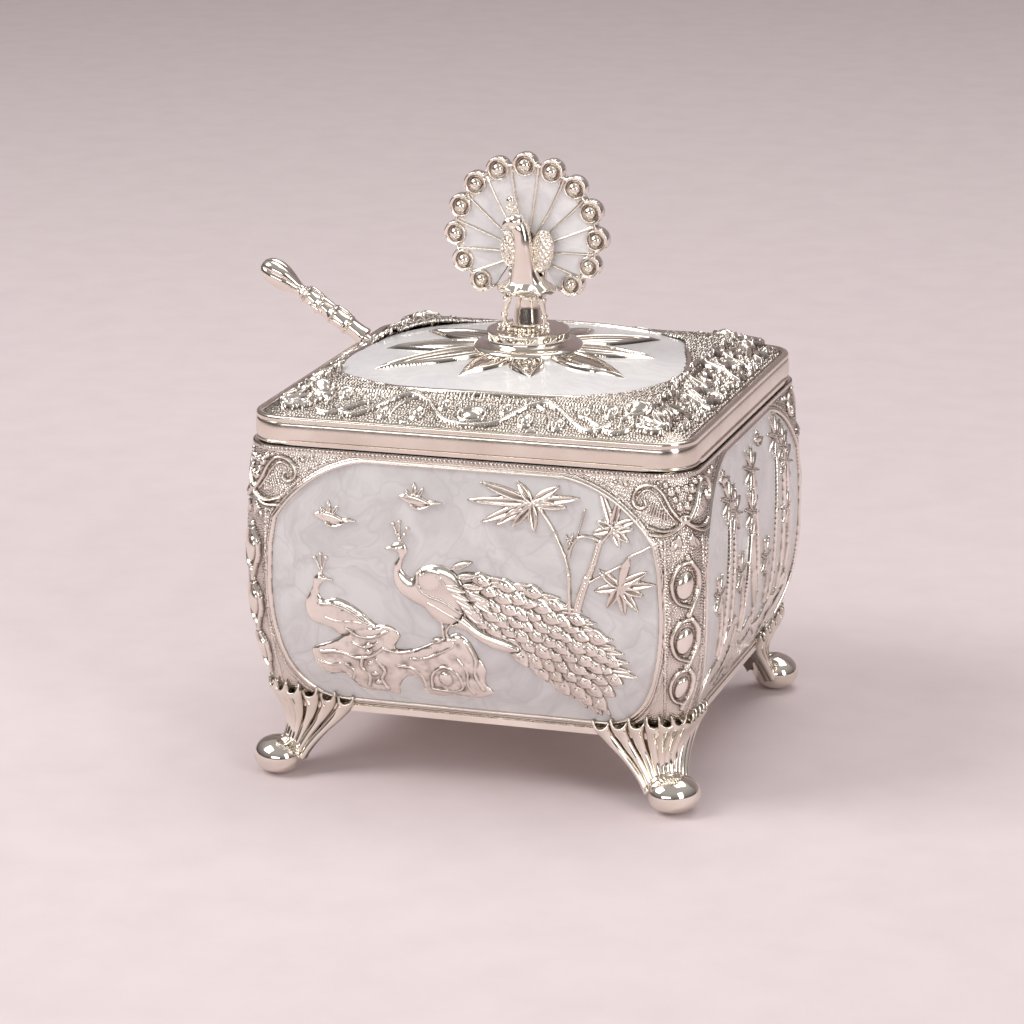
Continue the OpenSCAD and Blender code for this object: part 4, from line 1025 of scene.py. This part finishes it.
# petals round the knob, as (direction from the front, tip radius, width, kind)
PETALS = ((19, 25.6, 8.4, "heart"), (-19, 27.8, 8.2, "seed"), (62, 33.5, 9.2, "seed"),
          (-58, 38.5, 9.8, "lance"), (97, 31.5, 8.6, "lance"), (-88, 36.6, 9.2, "lance"),
          (132, 36, 8.8, "lance"), (-120, 38, 8.8, "lance"), (162, 28, 8.4, "seed"), (-162, 28, 8.4, "heart"))
PETAL_ROOT, COLLAR_CLEAR = 9.0, 12.6
PSTEP = 0.14
pv = Canvas((-37, -30), (37, 30), PSTEP)
for turn, tip_r, width, kind in PETALS:
    a = math.radians(turn - 90)
    c, s = math.cos(a), math.sin(a)
    U, V = pv.x[None, :] * c + pv.z[:, None] * s, -pv.x[None, :] * s + pv.z[:, None] * c
    u = (U - PETAL_ROOT) / (tip_r - PETAL_ROOT)
    t = unit(u)
    V = V + 0.09 * width * np.sin(t * math.pi) * (-1 if turn < 0 else 1)
    full = 0.42 if kind == "heart" else 0.36
    swelling = np.sin(np.minimum(t / full, 1) * math.pi / 2) ** 0.6 * 0.55 + 0.45
    tapering = np.cos(unit((t - full) / (1 - full)) * math.pi / 2) ** (1.1 if kind == "heart" else 1.25)
    half = width / 2 * np.where(t < full, swelling, tapering)
    edge = half - np.abs(V)
    q = np.minimum(np.abs(V) / np.maximum(half, 0.3), 1)
    lip = 0.62 * arch((edge - 0.55) / 0.55)
    leaf = 0.30 + 0.22 * q ** 2 + lip
    if kind == "heart":
        inner = half * 0.5 - np.abs(V)
        leaf = leaf + 0.45 * arch((inner - 0.4) / 0.4) * (u < 0.74)
        leaf = leaf + 0.5 * np.sqrt(unit(1 - ((u - 0.34) / 0.2) ** 2 - (V / (width * 0.13)) ** 2))
    else:
        mid, reach, fat = (0.5, 0.27, 0.2) if kind == "seed" else (0.38, 0.36, 0.15)
        sd = np.sqrt(((u - mid) / reach) ** 2 + (V / (width * fat)) ** 2)
        leaf = leaf + 0.7 * arch(sd) - 0.22 * np.exp(-((sd - 1.2) / 0.16) ** 2)
    taper = unit((1 - u) * (tip_r - PETAL_ROOT) / 3.5)
    leaf = np.where((u > -0.2) & (u < 1.0), 0.12 + (leaf - 0.12) * taper ** 0.7, UNDER)
    leaf = leaf - 6 * np.maximum(-edge, 0)
    pv.h = np.maximum(pv.h, np.maximum(leaf, UNDER))
X, Y = pv.x[None, :], pv.z[:, None]
z = dome_height(X, Y) + pv.h
clear = np.hypot(X, Y)[1:, 1:] > COLLAR_CLEAR
# painted shade in the petals' hollows
ob = make_mesh("petals", sheet(X, Y, z), grid_faces(*z.shape, any_high(pv.h) & clear),
               cavity(pv.h, PSTEP).ravel() * 0.7)
finish_piece(ob, SILVER, "lid", "polished_silver", "lid_petals")

# ---------------------------------------------------------------- knob: fan
FAN_Z, FAN_HALF, ENAMEL_R, LOBE_R, BEADS, BEAD_STEP = 126.0, 1.2, 16.0, 3.1, 13, 22.3
KNOT_Z = -3.4
ANGLES = [math.radians((i - (BEADS - 1) / 2) * BEAD_STEP) for i in range(BEADS)]
RIB_LINES = [math.radians((i - BEADS / 2) * BEAD_STEP) for i in range(BEADS + 1)]


def bead_ring(t):
    """Distance of the beads from the fan's centre, drawn in towards the lowest pair."""
    return 17.8 - 2.0 * (np.maximum(np.abs(t) - 1.6, 0) / 0.74) ** 1.3


def fan_side(name, front, nodes):
    """Frame, ribs and beads of one face of the fan; returns the enamel behind them."""
    cv = Canvas((-21.4, -15.5), (21.4, 21.4), 0.15)
    X, Z = cv.x[None, :], cv.z[:, None]
    r, a = np.hypot(X, Z), np.degrees(np.arctan2(X, Z))
    low = np.abs(a) > 147
    disc = np.where(low, -3.0, 0.6 + bead_ring(np.radians(a)) - r)
    post = np.minimum(4.6 - np.abs(X), Z + 14.5)
    post = np.where(Z > 0, -3, post)
    d = np.maximum(disc, post)
    lobes = np.full(r.shape, -9.0)
    for t in ANGLES:
        x, z = bead_ring(t) * math.sin(t), bead_ring(t) * math.cos(t)
        lobes = np.maximum(lobes, LOBE_R - np.hypot(X - x, Z - z))
    d = np.maximum(d, lobes)
    h = np.full(r.shape, -0.28)
    rim = 0.75 * arch((d - 0.38) / 0.38)
    h = np.maximum(h, -0.28 + rim * (r > 15) + 0.28 * rim * (r <= 15))
    cv.h = np.where((r < ENAMEL_R) & (d > 1.0), -0.9, h)
    cv.at(0, 1, -0.28)
    for t in RIB_LINES:
        far = 1.2 + bead_ring(t)
        start = np.array([far * math.sin(t), far * math.cos(t)])
        end = np.array([2.2 * math.sin(t) * 0.5, KNOT_Z + 2.2 * math.cos(t) * 0.5])
        bow = (start + end) / 2 + np.array([math.cos(t), -math.sin(t)]) * 0.35 * math.sin(3 * t)
        p = spline([start, bow * 1.04, end], 8)
        cv.line(p, np.linspace(0.95, 0.5, len(p)), 0.62, base=-0.5)
    for t in ANGLES:
        x, z = bead_ring(t) * math.sin(t), bead_ring(t) * math.cos(t)
        k = 1.08 - 0.12 * abs(t) / 2.4
        w, X2, Z2 = cv.window(x - 4, x + 4, z - 4, z + 4)
        q = np.hypot(X2 - x, Z2 - z)
        rq = np.abs(q - 2.3 * k)
        ring = -0.35 + 0.75 * arch(rq / 0.3) - 5 * np.maximum(rq - 0.3, 0)
        dish = np.where(q < 2.3 * k, -0.55, -9)
        dome = -0.5 + 1.8 * arch(q / (1.6 * k))
        dome = np.where(q < 1.6 * k, dome, -9)
        cv.h[w] = np.where(q < 2.2 * k, dish, cv.h[w])
        cv.raise_to(w, np.maximum(ring, dome))
    h = cv.h
    gy, gx = np.gradient(d, cv.step)
    out = (d < 0) & (d > -1.6 * cv.step)
    px = np.where(out, X - d * gx, X)
    pz = np.where(out, Z - d * gy, Z)
    h = np.where(out, -FAN_HALF, h)
    way = -1 if front else 1
    # painted shade: dark in the dishes round the beads, lighter in the other hollows
    hollow = np.where(h < -0.5, 0.6, cavity(h, cv.step) * 0.5) * (d > 0.3)
    ob = make_mesh(name, sheet(px, (FAN_HALF + h) * way, pz + FAN_Z),
                   grid_faces(*h.shape, all_four(d > -1.6 * cv.step)), hollow.ravel())
    finish_piece(ob, SILVER, "lid", "polished_silver", *nodes)
    sel = (r < ENAMEL_R + 0.4) & (d > 0.6) & (r > 2.0) & ~low
    return sheet(X, (FAN_HALF - 0.42) * way, Z + FAN_Z), grid_faces(*h.shape, all_four(sel))


va = fan_side("fan_front", True, ["fan_frame", "fan_beads"])
vb = fan_side("fan_back", False, [])
ob = make_mesh("fan_pearl", *merge([va, vb]))
finish_piece(ob, FAN_PEARL, "lid", "pearl_enamel", "fan_enamel")

# ---------------------------------------------------------------- knob: the bird
def loft(sections, sides=40, per=7):
    """Rounded body through sections (x, y, z, half width, half depth), closed at both ends."""
    p = spline(sections, per)
    d = np.gradient(p[:, :3], axis=0)
    d /= np.linalg.norm(d, axis=1)[:, None]
    side = np.cross(d, np.array([0.0, 1.0, 0.0]))
    side /= np.linalg.norm(side, axis=1)[:, None]
    deep_dir = np.cross(d, side)
    a = np.linspace(0, 2 * np.pi, sides, endpoint=False)
    v = (p[:, None, :3] + np.abs(p[:, None, 3:4]) * np.cos(a)[None, :, None] * side[:, None]
         + np.abs(p[:, None, 4:5]) * np.sin(a)[None, :, None] * deep_dir[:, None])
    v = np.concatenate([np.repeat(p[:1, None, :3], sides, 1), v, np.repeat(p[-1:, None, :3], sides, 1)])
    return v.reshape(-1, 3), grid_faces(len(p) + 2, sides, wrap=True)


def wing(x, y, z, half_w, half_h, lean):
    """Oval shield with a cross-hatched face."""
    n = 56
    u = np.linspace(-1, 1, n)
    X, Z = np.meshgrid(u, u)
    q = np.hypot(X, Z)
    s = np.maximum(q, 1e-6)
    m = np.maximum(np.abs(X), np.abs(Z)) / s
    X, Z = X * m, Z * m
    q = np.hypot(X, Z)
    c, s = math.cos(lean), math.sin(lean)
    wx, wz = X * half_w, Z * half_h
    lattice = np.maximum(np.abs(np.sin((wx + wz * 0.8) * 2.3)), np.abs(np.sin((wx - wz * 0.8) * 2.3)))
    hgt = 1.15 * arch(q) + 0.32 * (lattice ** 3 - 0.6) * unit((0.86 - q) / 0.1)
    hgt = hgt + 0.3 * np.exp(-((q - 0.9) / 0.05) ** 2)
    px = x + wx * c - wz * s
    pz = z + wx * s + wz * c
    py = y - hgt
    v = np.stack([px, py, pz], -1).reshape(-1, 3)
    back = v.copy()
    back[:, 1] = y + 0.5
    f = grid_faces(n, n)
    ring = np.concatenate([np.arange(n), np.arange(1, n) * n + n - 1,
                           (n - 1) * n + np.arange(n - 2, -1, -1), np.arange(n - 2, 0, -1) * n])
    nxt = np.roll(ring, -1)
    edge = np.stack([ring, nxt, nxt + n * n, ring + n * n], -1)
    return np.concatenate([v, back]), np.concatenate([f, edge])


parts = [loft([(0.9, -4.2, 113.4, 5.4, 3.1), (0.9, -4.3, 114.6, 5.0, 3.0), (0.9, -4.6, 116.4, 4.1, 2.8),
               (0.9, -5.0, 118.8, 3.1, 2.6), (0.9, -5.4, 121.6, 2.5, 2.4), (0.9, -5.6, 124.6, 2.2, 2.25),
               (0.7, -5.6, 127.2, 2.1, 2.15), (0.1, -5.6, 129.4, 2.1, 2.1), (-0.5, -5.8, 130.8, 1.6, 1.6),
               (-0.8, -5.9, 131.4, 0.4, 0.4)]), ball((-0.8, -5.9, 130.9), (2.15, 2.0, 2.1), n=32),
         loft([(-1.6, -6.3, 131.4, 1.2, 1.2), (-2.6, -6.8, 130.9, 1.05, 0.95),
               (-3.4, -7.1, 129.9, 0.6, 0.55), (-3.8, -7.2, 128.8, 0.1, 0.1)], 24),
         ball((-2.0, -7.3, 131.5), (0.35, 0.3, 0.35), n=8), ball((0.2, -7.6, 131.3), (0.35, 0.3, 0.35),
                                                                 n=8), wing(-3.2, -4.2, 123.7, 2.2, 4.5,
                                                                            0.10), wing(5.2, -4.0, 123.5,
                                                                                        2.8, 5.3, -0.12),
         ball((-2.1, -5.6, 135.9), (1.15, 1.0, 1.25), n=12), ball((-1.0, -5.6, 134.2), (0.6, 0.6, 0.7),
                                                                  n=8), ball((-2.9, -5.6, 134.0),
                                                                             (0.55, 0.5, 0.6), n=8),
         ball((-1.9, -5.6, 133.6), (0.7, 0.7, 0.7), n=8), tube([(0.9, -3.0, 119), (0.9, -0.8, 119)], 2.2,
                                                               16), tube([(0.9, -3.4, 123),
                                                                          (0.9, -0.8, 123)], 1.6, 16)]
# scalloped skirt under the body
a = np.linspace(0, 2 * np.pi, 96, endpoint=False)
wave = np.abs(np.sin(3.5 * a))
rows = []
for t in np.linspace(0, 1, 14):
    r = 3.6 + 2.9 * t ** 1.5
    rows.append(np.stack([0.9 + 1.12 * r * np.cos(a), -3.6 + 0.82 * r * np.sin(a),
                          117.2 - 3.0 * t + 0.9 * (wave - 0.5) * t], -1))
for t in np.linspace(0.1, 1, 8):
    r = 6.5 - 2.9 * t
    rows.append(np.stack([0.9 + 1.12 * r * np.cos(a), -3.6 + 0.82 * r * np.sin(a),
                          114.2 - 1.2 * math.sin(math.pi * t) + 0.9 * (wave - 0.5) * (1 - t)], -1))
v = np.concatenate(rows)
parts.append((v, grid_faces(len(rows), 96, wrap=True)))
for x0, x1, y0 in ((-3.6, -4.4, -4.6), (5.0, 5.6, -4.4)):
    parts.append(tube(spline([(x0, y0, 114.0), (x0 * 0.98, y0 - 0.1, 111.4), (x1, y0 - 0.2, 108.0),
                              (x1, y0 - 0.1, 104.6)]), spline([(0.75,), (0.95,), (0.6,), (0.65,)]).ravel(),
                      12))
    parts.append(ball((x0 * 1.02, y0 - 0.1, 111.6), (1.15, 1.0, 0.8), n=10))
    parts.append(ball((x1, y0 - 0.2, 107.6), (0.95, 0.9, 0.7), n=10))
    for dx, dy in ((-1.5, -0.9), (0.0, -1.5), (1.5, -0.9)):
        parts.append(tube(spline([(x1 + 0.2 * dx, y0, 105.4), (x1 + 0.7 * dx, y0 + 0.7 * dy, 104.9),
                                  (x1 + dx, y0 + dy, 103.8)]), spline([(0.6,), (0.65,), (0.3,)]).ravel(), 10))
ob = make_mesh("bird", *merge(parts))
finish_piece(ob, SILVER, "lid", "polished_silver", "peacock")

# column under the skirt with its beaded foot ring
v, f = lathe([(0.01, 103.3), (3.9, 103.3), (3.7, 105.0), (3.2, 108.5), (2.8, 111.4), (3.2, 112.4),
              (5.2, 112.5), (5.3, 113.0), (5.2, 113.8), (0.01, 113.9)], 64)
parts = [(v, f)]
for i in range(26):
    a = 2 * math.pi * i / 26
    parts.append(ball((4.9 * math.cos(a), 4.9 * math.sin(a), 103.8), (0.55, 0.55, 0.55), n=8))
ob = make_mesh("knob_column", *merge(parts))
finish_piece(ob, SILVER, "lid", "polished_silver", "knob_pedestal")

COLLAR = [(12.0, 97.6), (13.4, 98.2), (13.5, 99.0), (13.3, 99.5), (12.6, 100.0), (11.6, 100.25),
          (10.5, 100.4), (10.1, 100.7), (10.0, 101.2), (9.95, 102.5), (10.1, 102.8), (10.15, 103.05),
          (10.0, 103.3), (9.4, 103.35), (0.01, 103.35)]
ob = make_mesh("collar", *lathe(COLLAR, 128))
finish_piece(ob, SILVER, "lid", "polished_silver", "knob_collar")

# ---------------------------------------------------------------- feet
SCREW_X, SCREW_Y = 44.0, 39.0
FOOT_X, FOOT_Y = 42.9, 39.7


def foot_frame(x, y):
    """A point of the plan, measured outwards and along from the foot's corner."""
    return (x - FOOT_X + y - FOOT_Y) / math.sqrt(2), (y - FOOT_Y - x + FOOT_X) / math.sqrt(2)


FOOT_U, FOOT_V = foot_frame(CORE_X, CORE_Y)
FOOT_SU, FOOT_SV = foot_frame(SCREW_X, SCREW_Y)
BALL_U, FINGERS, RIB_SIDES = 10.4, 5, 28


def rib(centres, across, outward, half_w, half_d, lift):
    """Rib with an oval section along a path; its far end opens in a hollow mouth with raised horns. Also
    returns painted shade: darker on the rib's inner side and in its mouth.
    """
    ang = np.linspace(0, 2 * np.pi, RIB_SIDES, endpoint=False)
    c, s = np.cos(ang)[None, :, None], np.sin(ang)[None, :, None]
    along_ = np.gradient(centres, axis=0)
    along_ /= np.linalg.norm(along_, axis=1)[:, None]
    v = centres[:, None] + across[:, None] * c * half_w[:, None, None]
    v = v + outward[:, None] * s * half_d[:, None, None]
    rise = unit((np.linspace(0, 1, len(centres)) - 0.8) / 0.2) ** 2
    v = v + along_[:, None] * (lift[None, :, None] * rise[:, None, None])
    mouth = []
    for scale, down in ((0.80, 0.0), (0.68, 0.9), (0.5, 2.4), (0.02, 2.8)):
        edge = lift[:, None] * (1 - scale) - down
        mouth.append(v[-1] * scale + centres[-1] * (1 - scale) + along_[-1] * edge)
    v = np.concatenate([np.repeat(centres[:1, None], RIB_SIDES, 1), v, np.array(mouth)])
    # painted shade on the rib's inner side, facing into the leg, and in its mouth
    dark = np.repeat(np.clip(0.5 - 0.9 * np.sin(ang), 0, 0.75)[None, :], len(v), 0)
    dark[-3:] = 0.7
    return v.reshape(-1, 3), grid_faces(len(v), RIB_SIDES, wrap=True), dark.ravel()


def foot_curve(t, s):
    """Points of the leg's fan: t is -1 to 1 across it, s is 0 at the ball to 1 on the body's edge."""
    around = 23.8 * t
    bend = CORNER_ARC / 2
    off = max(abs(around) - bend, 0)
    z1 = 22.9 - 2.9 * abs(t) ** 1.3
    ang = min(abs(around) / bend, 1) * math.pi / 4
    r = BAND_R + float(swell(z1)) + 0.75
    u1 = FOOT_U + r * math.cos(ang) - off / math.sqrt(2)
    v1 = FOOT_V + math.copysign(r * math.sin(ang) + off / math.sqrt(2), t)
    p0 = np.array([BALL_U - 3.1 - 1.2 * t * t, 5.5 * t, 8.5 - 4.9 * abs(t) ** 1.5])
    p1 = np.array([BALL_U - 6.0 - 0.4 * t * t, 5.6 * t, 13.0 - 3.6 * abs(t) ** 1.5])
    p3 = np.array([u1, v1, z1])
    p2 = np.array([u1 - 2.9 + 1.2 * abs(t), v1 * 0.84, z1 - 5.6 + 1.4 * abs(t)])
    s3 = s[:, None]
    return (1 - s3) ** 3 * p0 + 3 * (1 - s3) ** 2 * s3 * p1 + 3 * (1 - s3) * s3 ** 2 * p2 + s3 ** 3 * p3


def foot_parts():
    """One foot in its own frame: u outwards, v along, z up; also returns the painted shade of each vertex."""
    s = np.linspace(0, 1, 34)
    parts = []
    leg = np.array([foot_curve(t, s) for t in np.linspace(-1, 1, 61)]).transpose(1, 0, 2)
    n = np.cross(np.gradient(leg, axis=1), np.gradient(leg, axis=0))
    n /= np.linalg.norm(n, axis=2)[:, :, None] + 1e-9
    n *= np.sign(n[:, :, :1] + 1e-9)
    for k in range(-FINGERS, FINGERS + 1):
        t = k / (FINGERS + 0.35)
        path = foot_curve(t, s)
        side = foot_curve(t + 0.01, s) - foot_curve(t - 0.01, s)
        go = np.gradient(path, axis=0)
        go /= np.linalg.norm(go, axis=1)[:, None]
        side -= (side * go).sum(1)[:, None] * go
        side /= np.linalg.norm(side, axis=1)[:, None]
        out = np.cross(go, side)
        out *= np.sign((out * n[:, 30]).sum(1) + 1e-9)[:, None]
        width = np.interp(s, [0, 0.1, 0.45, 0.75, 0.92, 1], [0.65, 0.82, 1.0, 1.55, 2.1, 2.15])
        depth = np.interp(s, [0, 0.1, 0.45, 0.75, 0.92, 1], [0.8, 1.0, 1.2, 1.5, 1.8, 1.65])
        ang = np.linspace(0, 2 * np.pi, RIB_SIDES, endpoint=False)
        lean = np.cos(ang) * (np.sign(k) if k else 1)
        lift = 1.3 * unit(np.abs(np.cos(ang))) ** 3 * np.where(lean > 0, 1.0, 0.35 if k else 1.0)
        lift = lift - 0.5 * unit(np.sin(ang))
        parts.append(rib(path + out * 0.2, side, out, width, depth, lift))
    core = leg[1:-2]
    deep = n[1:-2]
    ring = np.concatenate([core - deep * 0.3, (core - deep * 1.7)[:, ::-1]], 1)
    f = grid_faces(ring.shape[0], ring.shape[1], wrap=True)
    # a sheet behind the ribs, painted dark all over: painted shade between the ribs
    parts.append((ring.reshape(-1, 3), f, np.full(ring.shape[0] * ring.shape[1], 0.75)))
    v, f = ball((BALL_U, 0, 4.62), (5.8, 6.6, 4.6), n=48)
    crease = unit((v[:, 2] - 4.6) / 3) * unit((BALL_U + 1.5 - v[:, 0]) / 4) * np.exp(-(v[:, 1] / 0.8) ** 2)
    v[:, 2] -= 0.6 * crease
    # painted shade in the ball's crease
    parts.append((v, f, 0.8 * crease))
    parts.append(ball((BALL_U - 3.4, 0, 6.6), (2.6, 4.6, 2.6), n=20))
    parts.append(lathe([(0.01, 11.0), (3.2, 11.0), (3.6, 11.6), (3.9, 17.0), (0.01, 17.0)], 40,
                       (FOOT_SU, FOOT_SV, 0)))
    parts.append(ball((2.8, FOOT_SV * 0.5, 12.8), (4.4, 2.4, 2.4), n=20))
    dark = np.concatenate([p[2] if len(p) > 2 else np.zeros(len(p[0])) for p in parts])
    return *merge([p[:2] for p in parts]), dark


fv, ff, foot_painted_shade = foot_parts()
CORNERS = (("front_right", 1, -1), ("front_left", -1, -1), ("back_right", 1, 1), ("back_left", -1, 1))
for name, sx, sy in CORNERS:
    q = math.sqrt(0.5)
    x = fv[:, 0] * q - fv[:, 1] * q
    y = fv[:, 0] * q + fv[:, 1] * q
    v = np.stack([sx * (FOOT_X + x), sy * (FOOT_Y + y), fv[:, 2]], -1)
    ob = make_mesh("cast_foot_" + name, v, ff if sx * sy > 0 else ff[:, ::-1], hollow=foot_painted_shade)
    finish_piece(ob, SILVER, "bowl", "polished_silver", "foot_" + name)

# ---------------------------------------------------------------- spoon
TIP = np.array([-81.0, 28.0, 109.0])
AXIS = np.array([math.cos(math.radians(33)), 0, -math.sin(math.radians(33))])
SIDE = np.array([0.0, 1.0, 0.0])
OVER = np.cross(SIDE, AXIS) * -1


def along(profile, sides=48, lobes=0, lobe_depth=0.0, twist=0.0):
    """Turned shape along the spoon's axis; lobes press petals into it."""
    p = np.array(profile, float)
    a = np.linspace(0, 2 * np.pi, sides, endpoint=False)[None, :]
    l, r = p[:, :1], p[:, 1:2]
    if lobes:
        r = r * (1 - lobe_depth * (1 - np.abs(np.cos((lobes * a + twist * l) / 2)) ** 0.6))
    v = TIP + l[:, :, None] * AXIS + (r * np.cos(a))[:, :, None] * SIDE + (r * np.sin(a))[:, :, None] * OVER
    return v.reshape(-1, 3), grid_faces(len(p), sides, wrap=True)


bud = spline([(0.02, 0.02), (0.5, 1.6), (2.0, 2.9), (4.4, 3.45), (7.0, 3.2), (9.6, 2.4), (11.6, 1.7),
              (12.6, 1.7), (13.2, 2.1), (13.9, 1.6)], 6)
ob = make_mesh("spoon_bud", *along(bud, 96, 5, 0.16, 0.22))
finish_piece(ob, SILVER, "spoon", "polished_silver", "spoon_finial")
cane = spline([(13.4, 1.6), (14.2, 2.6), (15.0, 2.1), (17.4, 2.0), (18.6, 2.7), (19.4, 2.2), (21.6, 2.2),
               (22.8, 2.8), (23.6, 2.35), (26.4, 2.35), (27.6, 2.75), (28.4, 2.35), (31.2, 2.3),
               (32.6, 2.45), (33.0, 2.2), (33.05, 0.02)], 5)
parts = [along(cane, 40)]
for l, a, size in ((14.4, 60, 1.0), (16.6, 200, 0.9), (19.0, 110, 1.1), (20.2, 20, 0.9), (23.2, 70, 1.1),
                   (23.4, 190, 1.0), (17.8, 320, 0.9)):
    c, s = heading(a)
    at = TIP + AXIS * (l + 1.6) + (SIDE * c + OVER * s) * 2.3
    rot = np.stack([AXIS, np.cross(SIDE * c + OVER * s, AXIS), SIDE * c + OVER * s], -1)
    parts.append(ball(at, (2.5 * size, 0.85 * size, 0.6 * size), rot, 12))
ob = make_mesh("spoon_cane", *merge(parts))
finish_piece(ob, SILVER, "spoon", "polished_silver", "spoon_handle")

# ---------------------------------------------------------------- plain CAD parts get their finish
for key, mat in (("wall_front", CAST), ("wall_right", CAST), ("wall_back", CAST), ("wall_left", CAST),
                 ("rim_moulding", CAST), ("base_plate", SILVER), ("liner", STEEL), ("foot_screws", STEEL),
                 ("lid_top", CAST), ("knob_screw", STEEL), ("knob_washer", STEEL), ("spoon_bowl", SILVER),
                 ("spoon_stem", SILVER)):
    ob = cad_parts[key]
    for s in ob.material_slots:
        s.material = mat

# ---------------------------------------------------------------- stage, light and camera
FLOOR = silver("floor_paper", (0.76, 0.665, 0.68), (0.73, 0.635, 0.65), 0.9)
FLOOR.node_tree.nodes["Principled BSDF"].inputs["Metallic"].default_value = 0.0
sweep = [(-2.5, 0.0), (1.2, 0.0), (1.6, 0.03), (1.9, 0.14), (2.1, 0.36), (2.2, 0.8), (2.25, 3.0)]
v = np.array([(x * 3.0, y, z) for y, z in sweep for x in (-1, 1)]) / MM
ob = make_mesh("backdrop", v, grid_faces(len(sweep), 2))
ob.data.materials.append(FLOOR)

world = bpy.data.worlds.new("studio")
bpy.context.scene.world = world
world.use_nodes = True
sky = world.node_tree
back = sky.nodes["Background"]
back.inputs["Strength"].default_value = 0.42
join = sky.links.new
where = sky.nodes.new("ShaderNodeTexCoord")
split = sky.nodes.new("ShaderNodeSeparateXYZ")
tone = ramp(sky, [(0.42, (0.55, 0.48, 0.47)), (0.52, (0.16, 0.14, 0.14)), (0.60, (0.45, 0.41, 0.41)),
                  (0.85, (1.0, 0.97, 0.95))])
shift = sky.nodes.new("ShaderNodeMapRange")
shift.inputs["From Min"].default_value = -1.0
join(where.outputs["Generated"], split.inputs[0])
join(split.outputs["Z"], shift.inputs["Value"])
join(shift.outputs["Result"], tone.inputs["Fac"])
join(tone.outputs["Color"], back.inputs["Color"])


def softbox(name, at, size, power, colour=(1, 0.98, 0.96)):
    lamp = bpy.data.lights.new(name, "AREA")
    lamp.shape = "RECTANGLE"
    lamp.size, lamp.size_y = size
    lamp.energy = power
    lamp.color = colour
    ob = bpy.data.objects.new(name, lamp)
    bpy.context.scene.collection.objects.link(ob)
    ob.location = at
    ob.rotation_euler = (Vector((0, 0, 0.07)) - Vector(at)).to_track_quat("-Z", "Y").to_euler()


softbox("key_left", (-0.8, -0.45, 1.0), (0.7, 0.7), 9)
softbox("top", (0.2, 0.35, 1.2), (1.0, 0.7), 5.5)
softbox("right", (1.0, -0.7, 0.5), (0.35, 0.8), 4.5)
softbox("front", (-0.1, -1.3, 0.35), (0.9, 0.25), 3)

SENSOR_MM, LENS_MM = 36, 131.77
EYE = Vector((0.28133, -0.84413, 0.31755))
YAW, PITCH, ROLL = (math.radians(a) for a in (-18.734, 16.344, -0.909))
ahead = Vector((math.sin(YAW) * math.cos(PITCH), math.cos(YAW) * math.cos(PITCH), -math.sin(PITCH)))
right = Vector((math.cos(YAW), -math.sin(YAW), 0))
up = right.cross(ahead)
r2 = right * math.cos(ROLL) + up * math.sin(ROLL)
u2 = up * math.cos(ROLL) - right * math.sin(ROLL)
camera = bpy.data.cameras.new("camera")
camera.sensor_width, camera.lens = SENSOR_MM, LENS_MM
ob = bpy.data.objects.new("camera", camera)
bpy.context.scene.collection.objects.link(ob)
ob.matrix_world = Matrix(((r2.x, u2.x, -ahead.x, EYE.x), (r2.y, u2.y, -ahead.y, EYE.y),
                          (r2.z, u2.z, -ahead.z, EYE.z), (0, 0, 0, 1)))
bpy.context.scene.camera = ob
bpy.context.scene.view_settings.view_transform = "Standard"
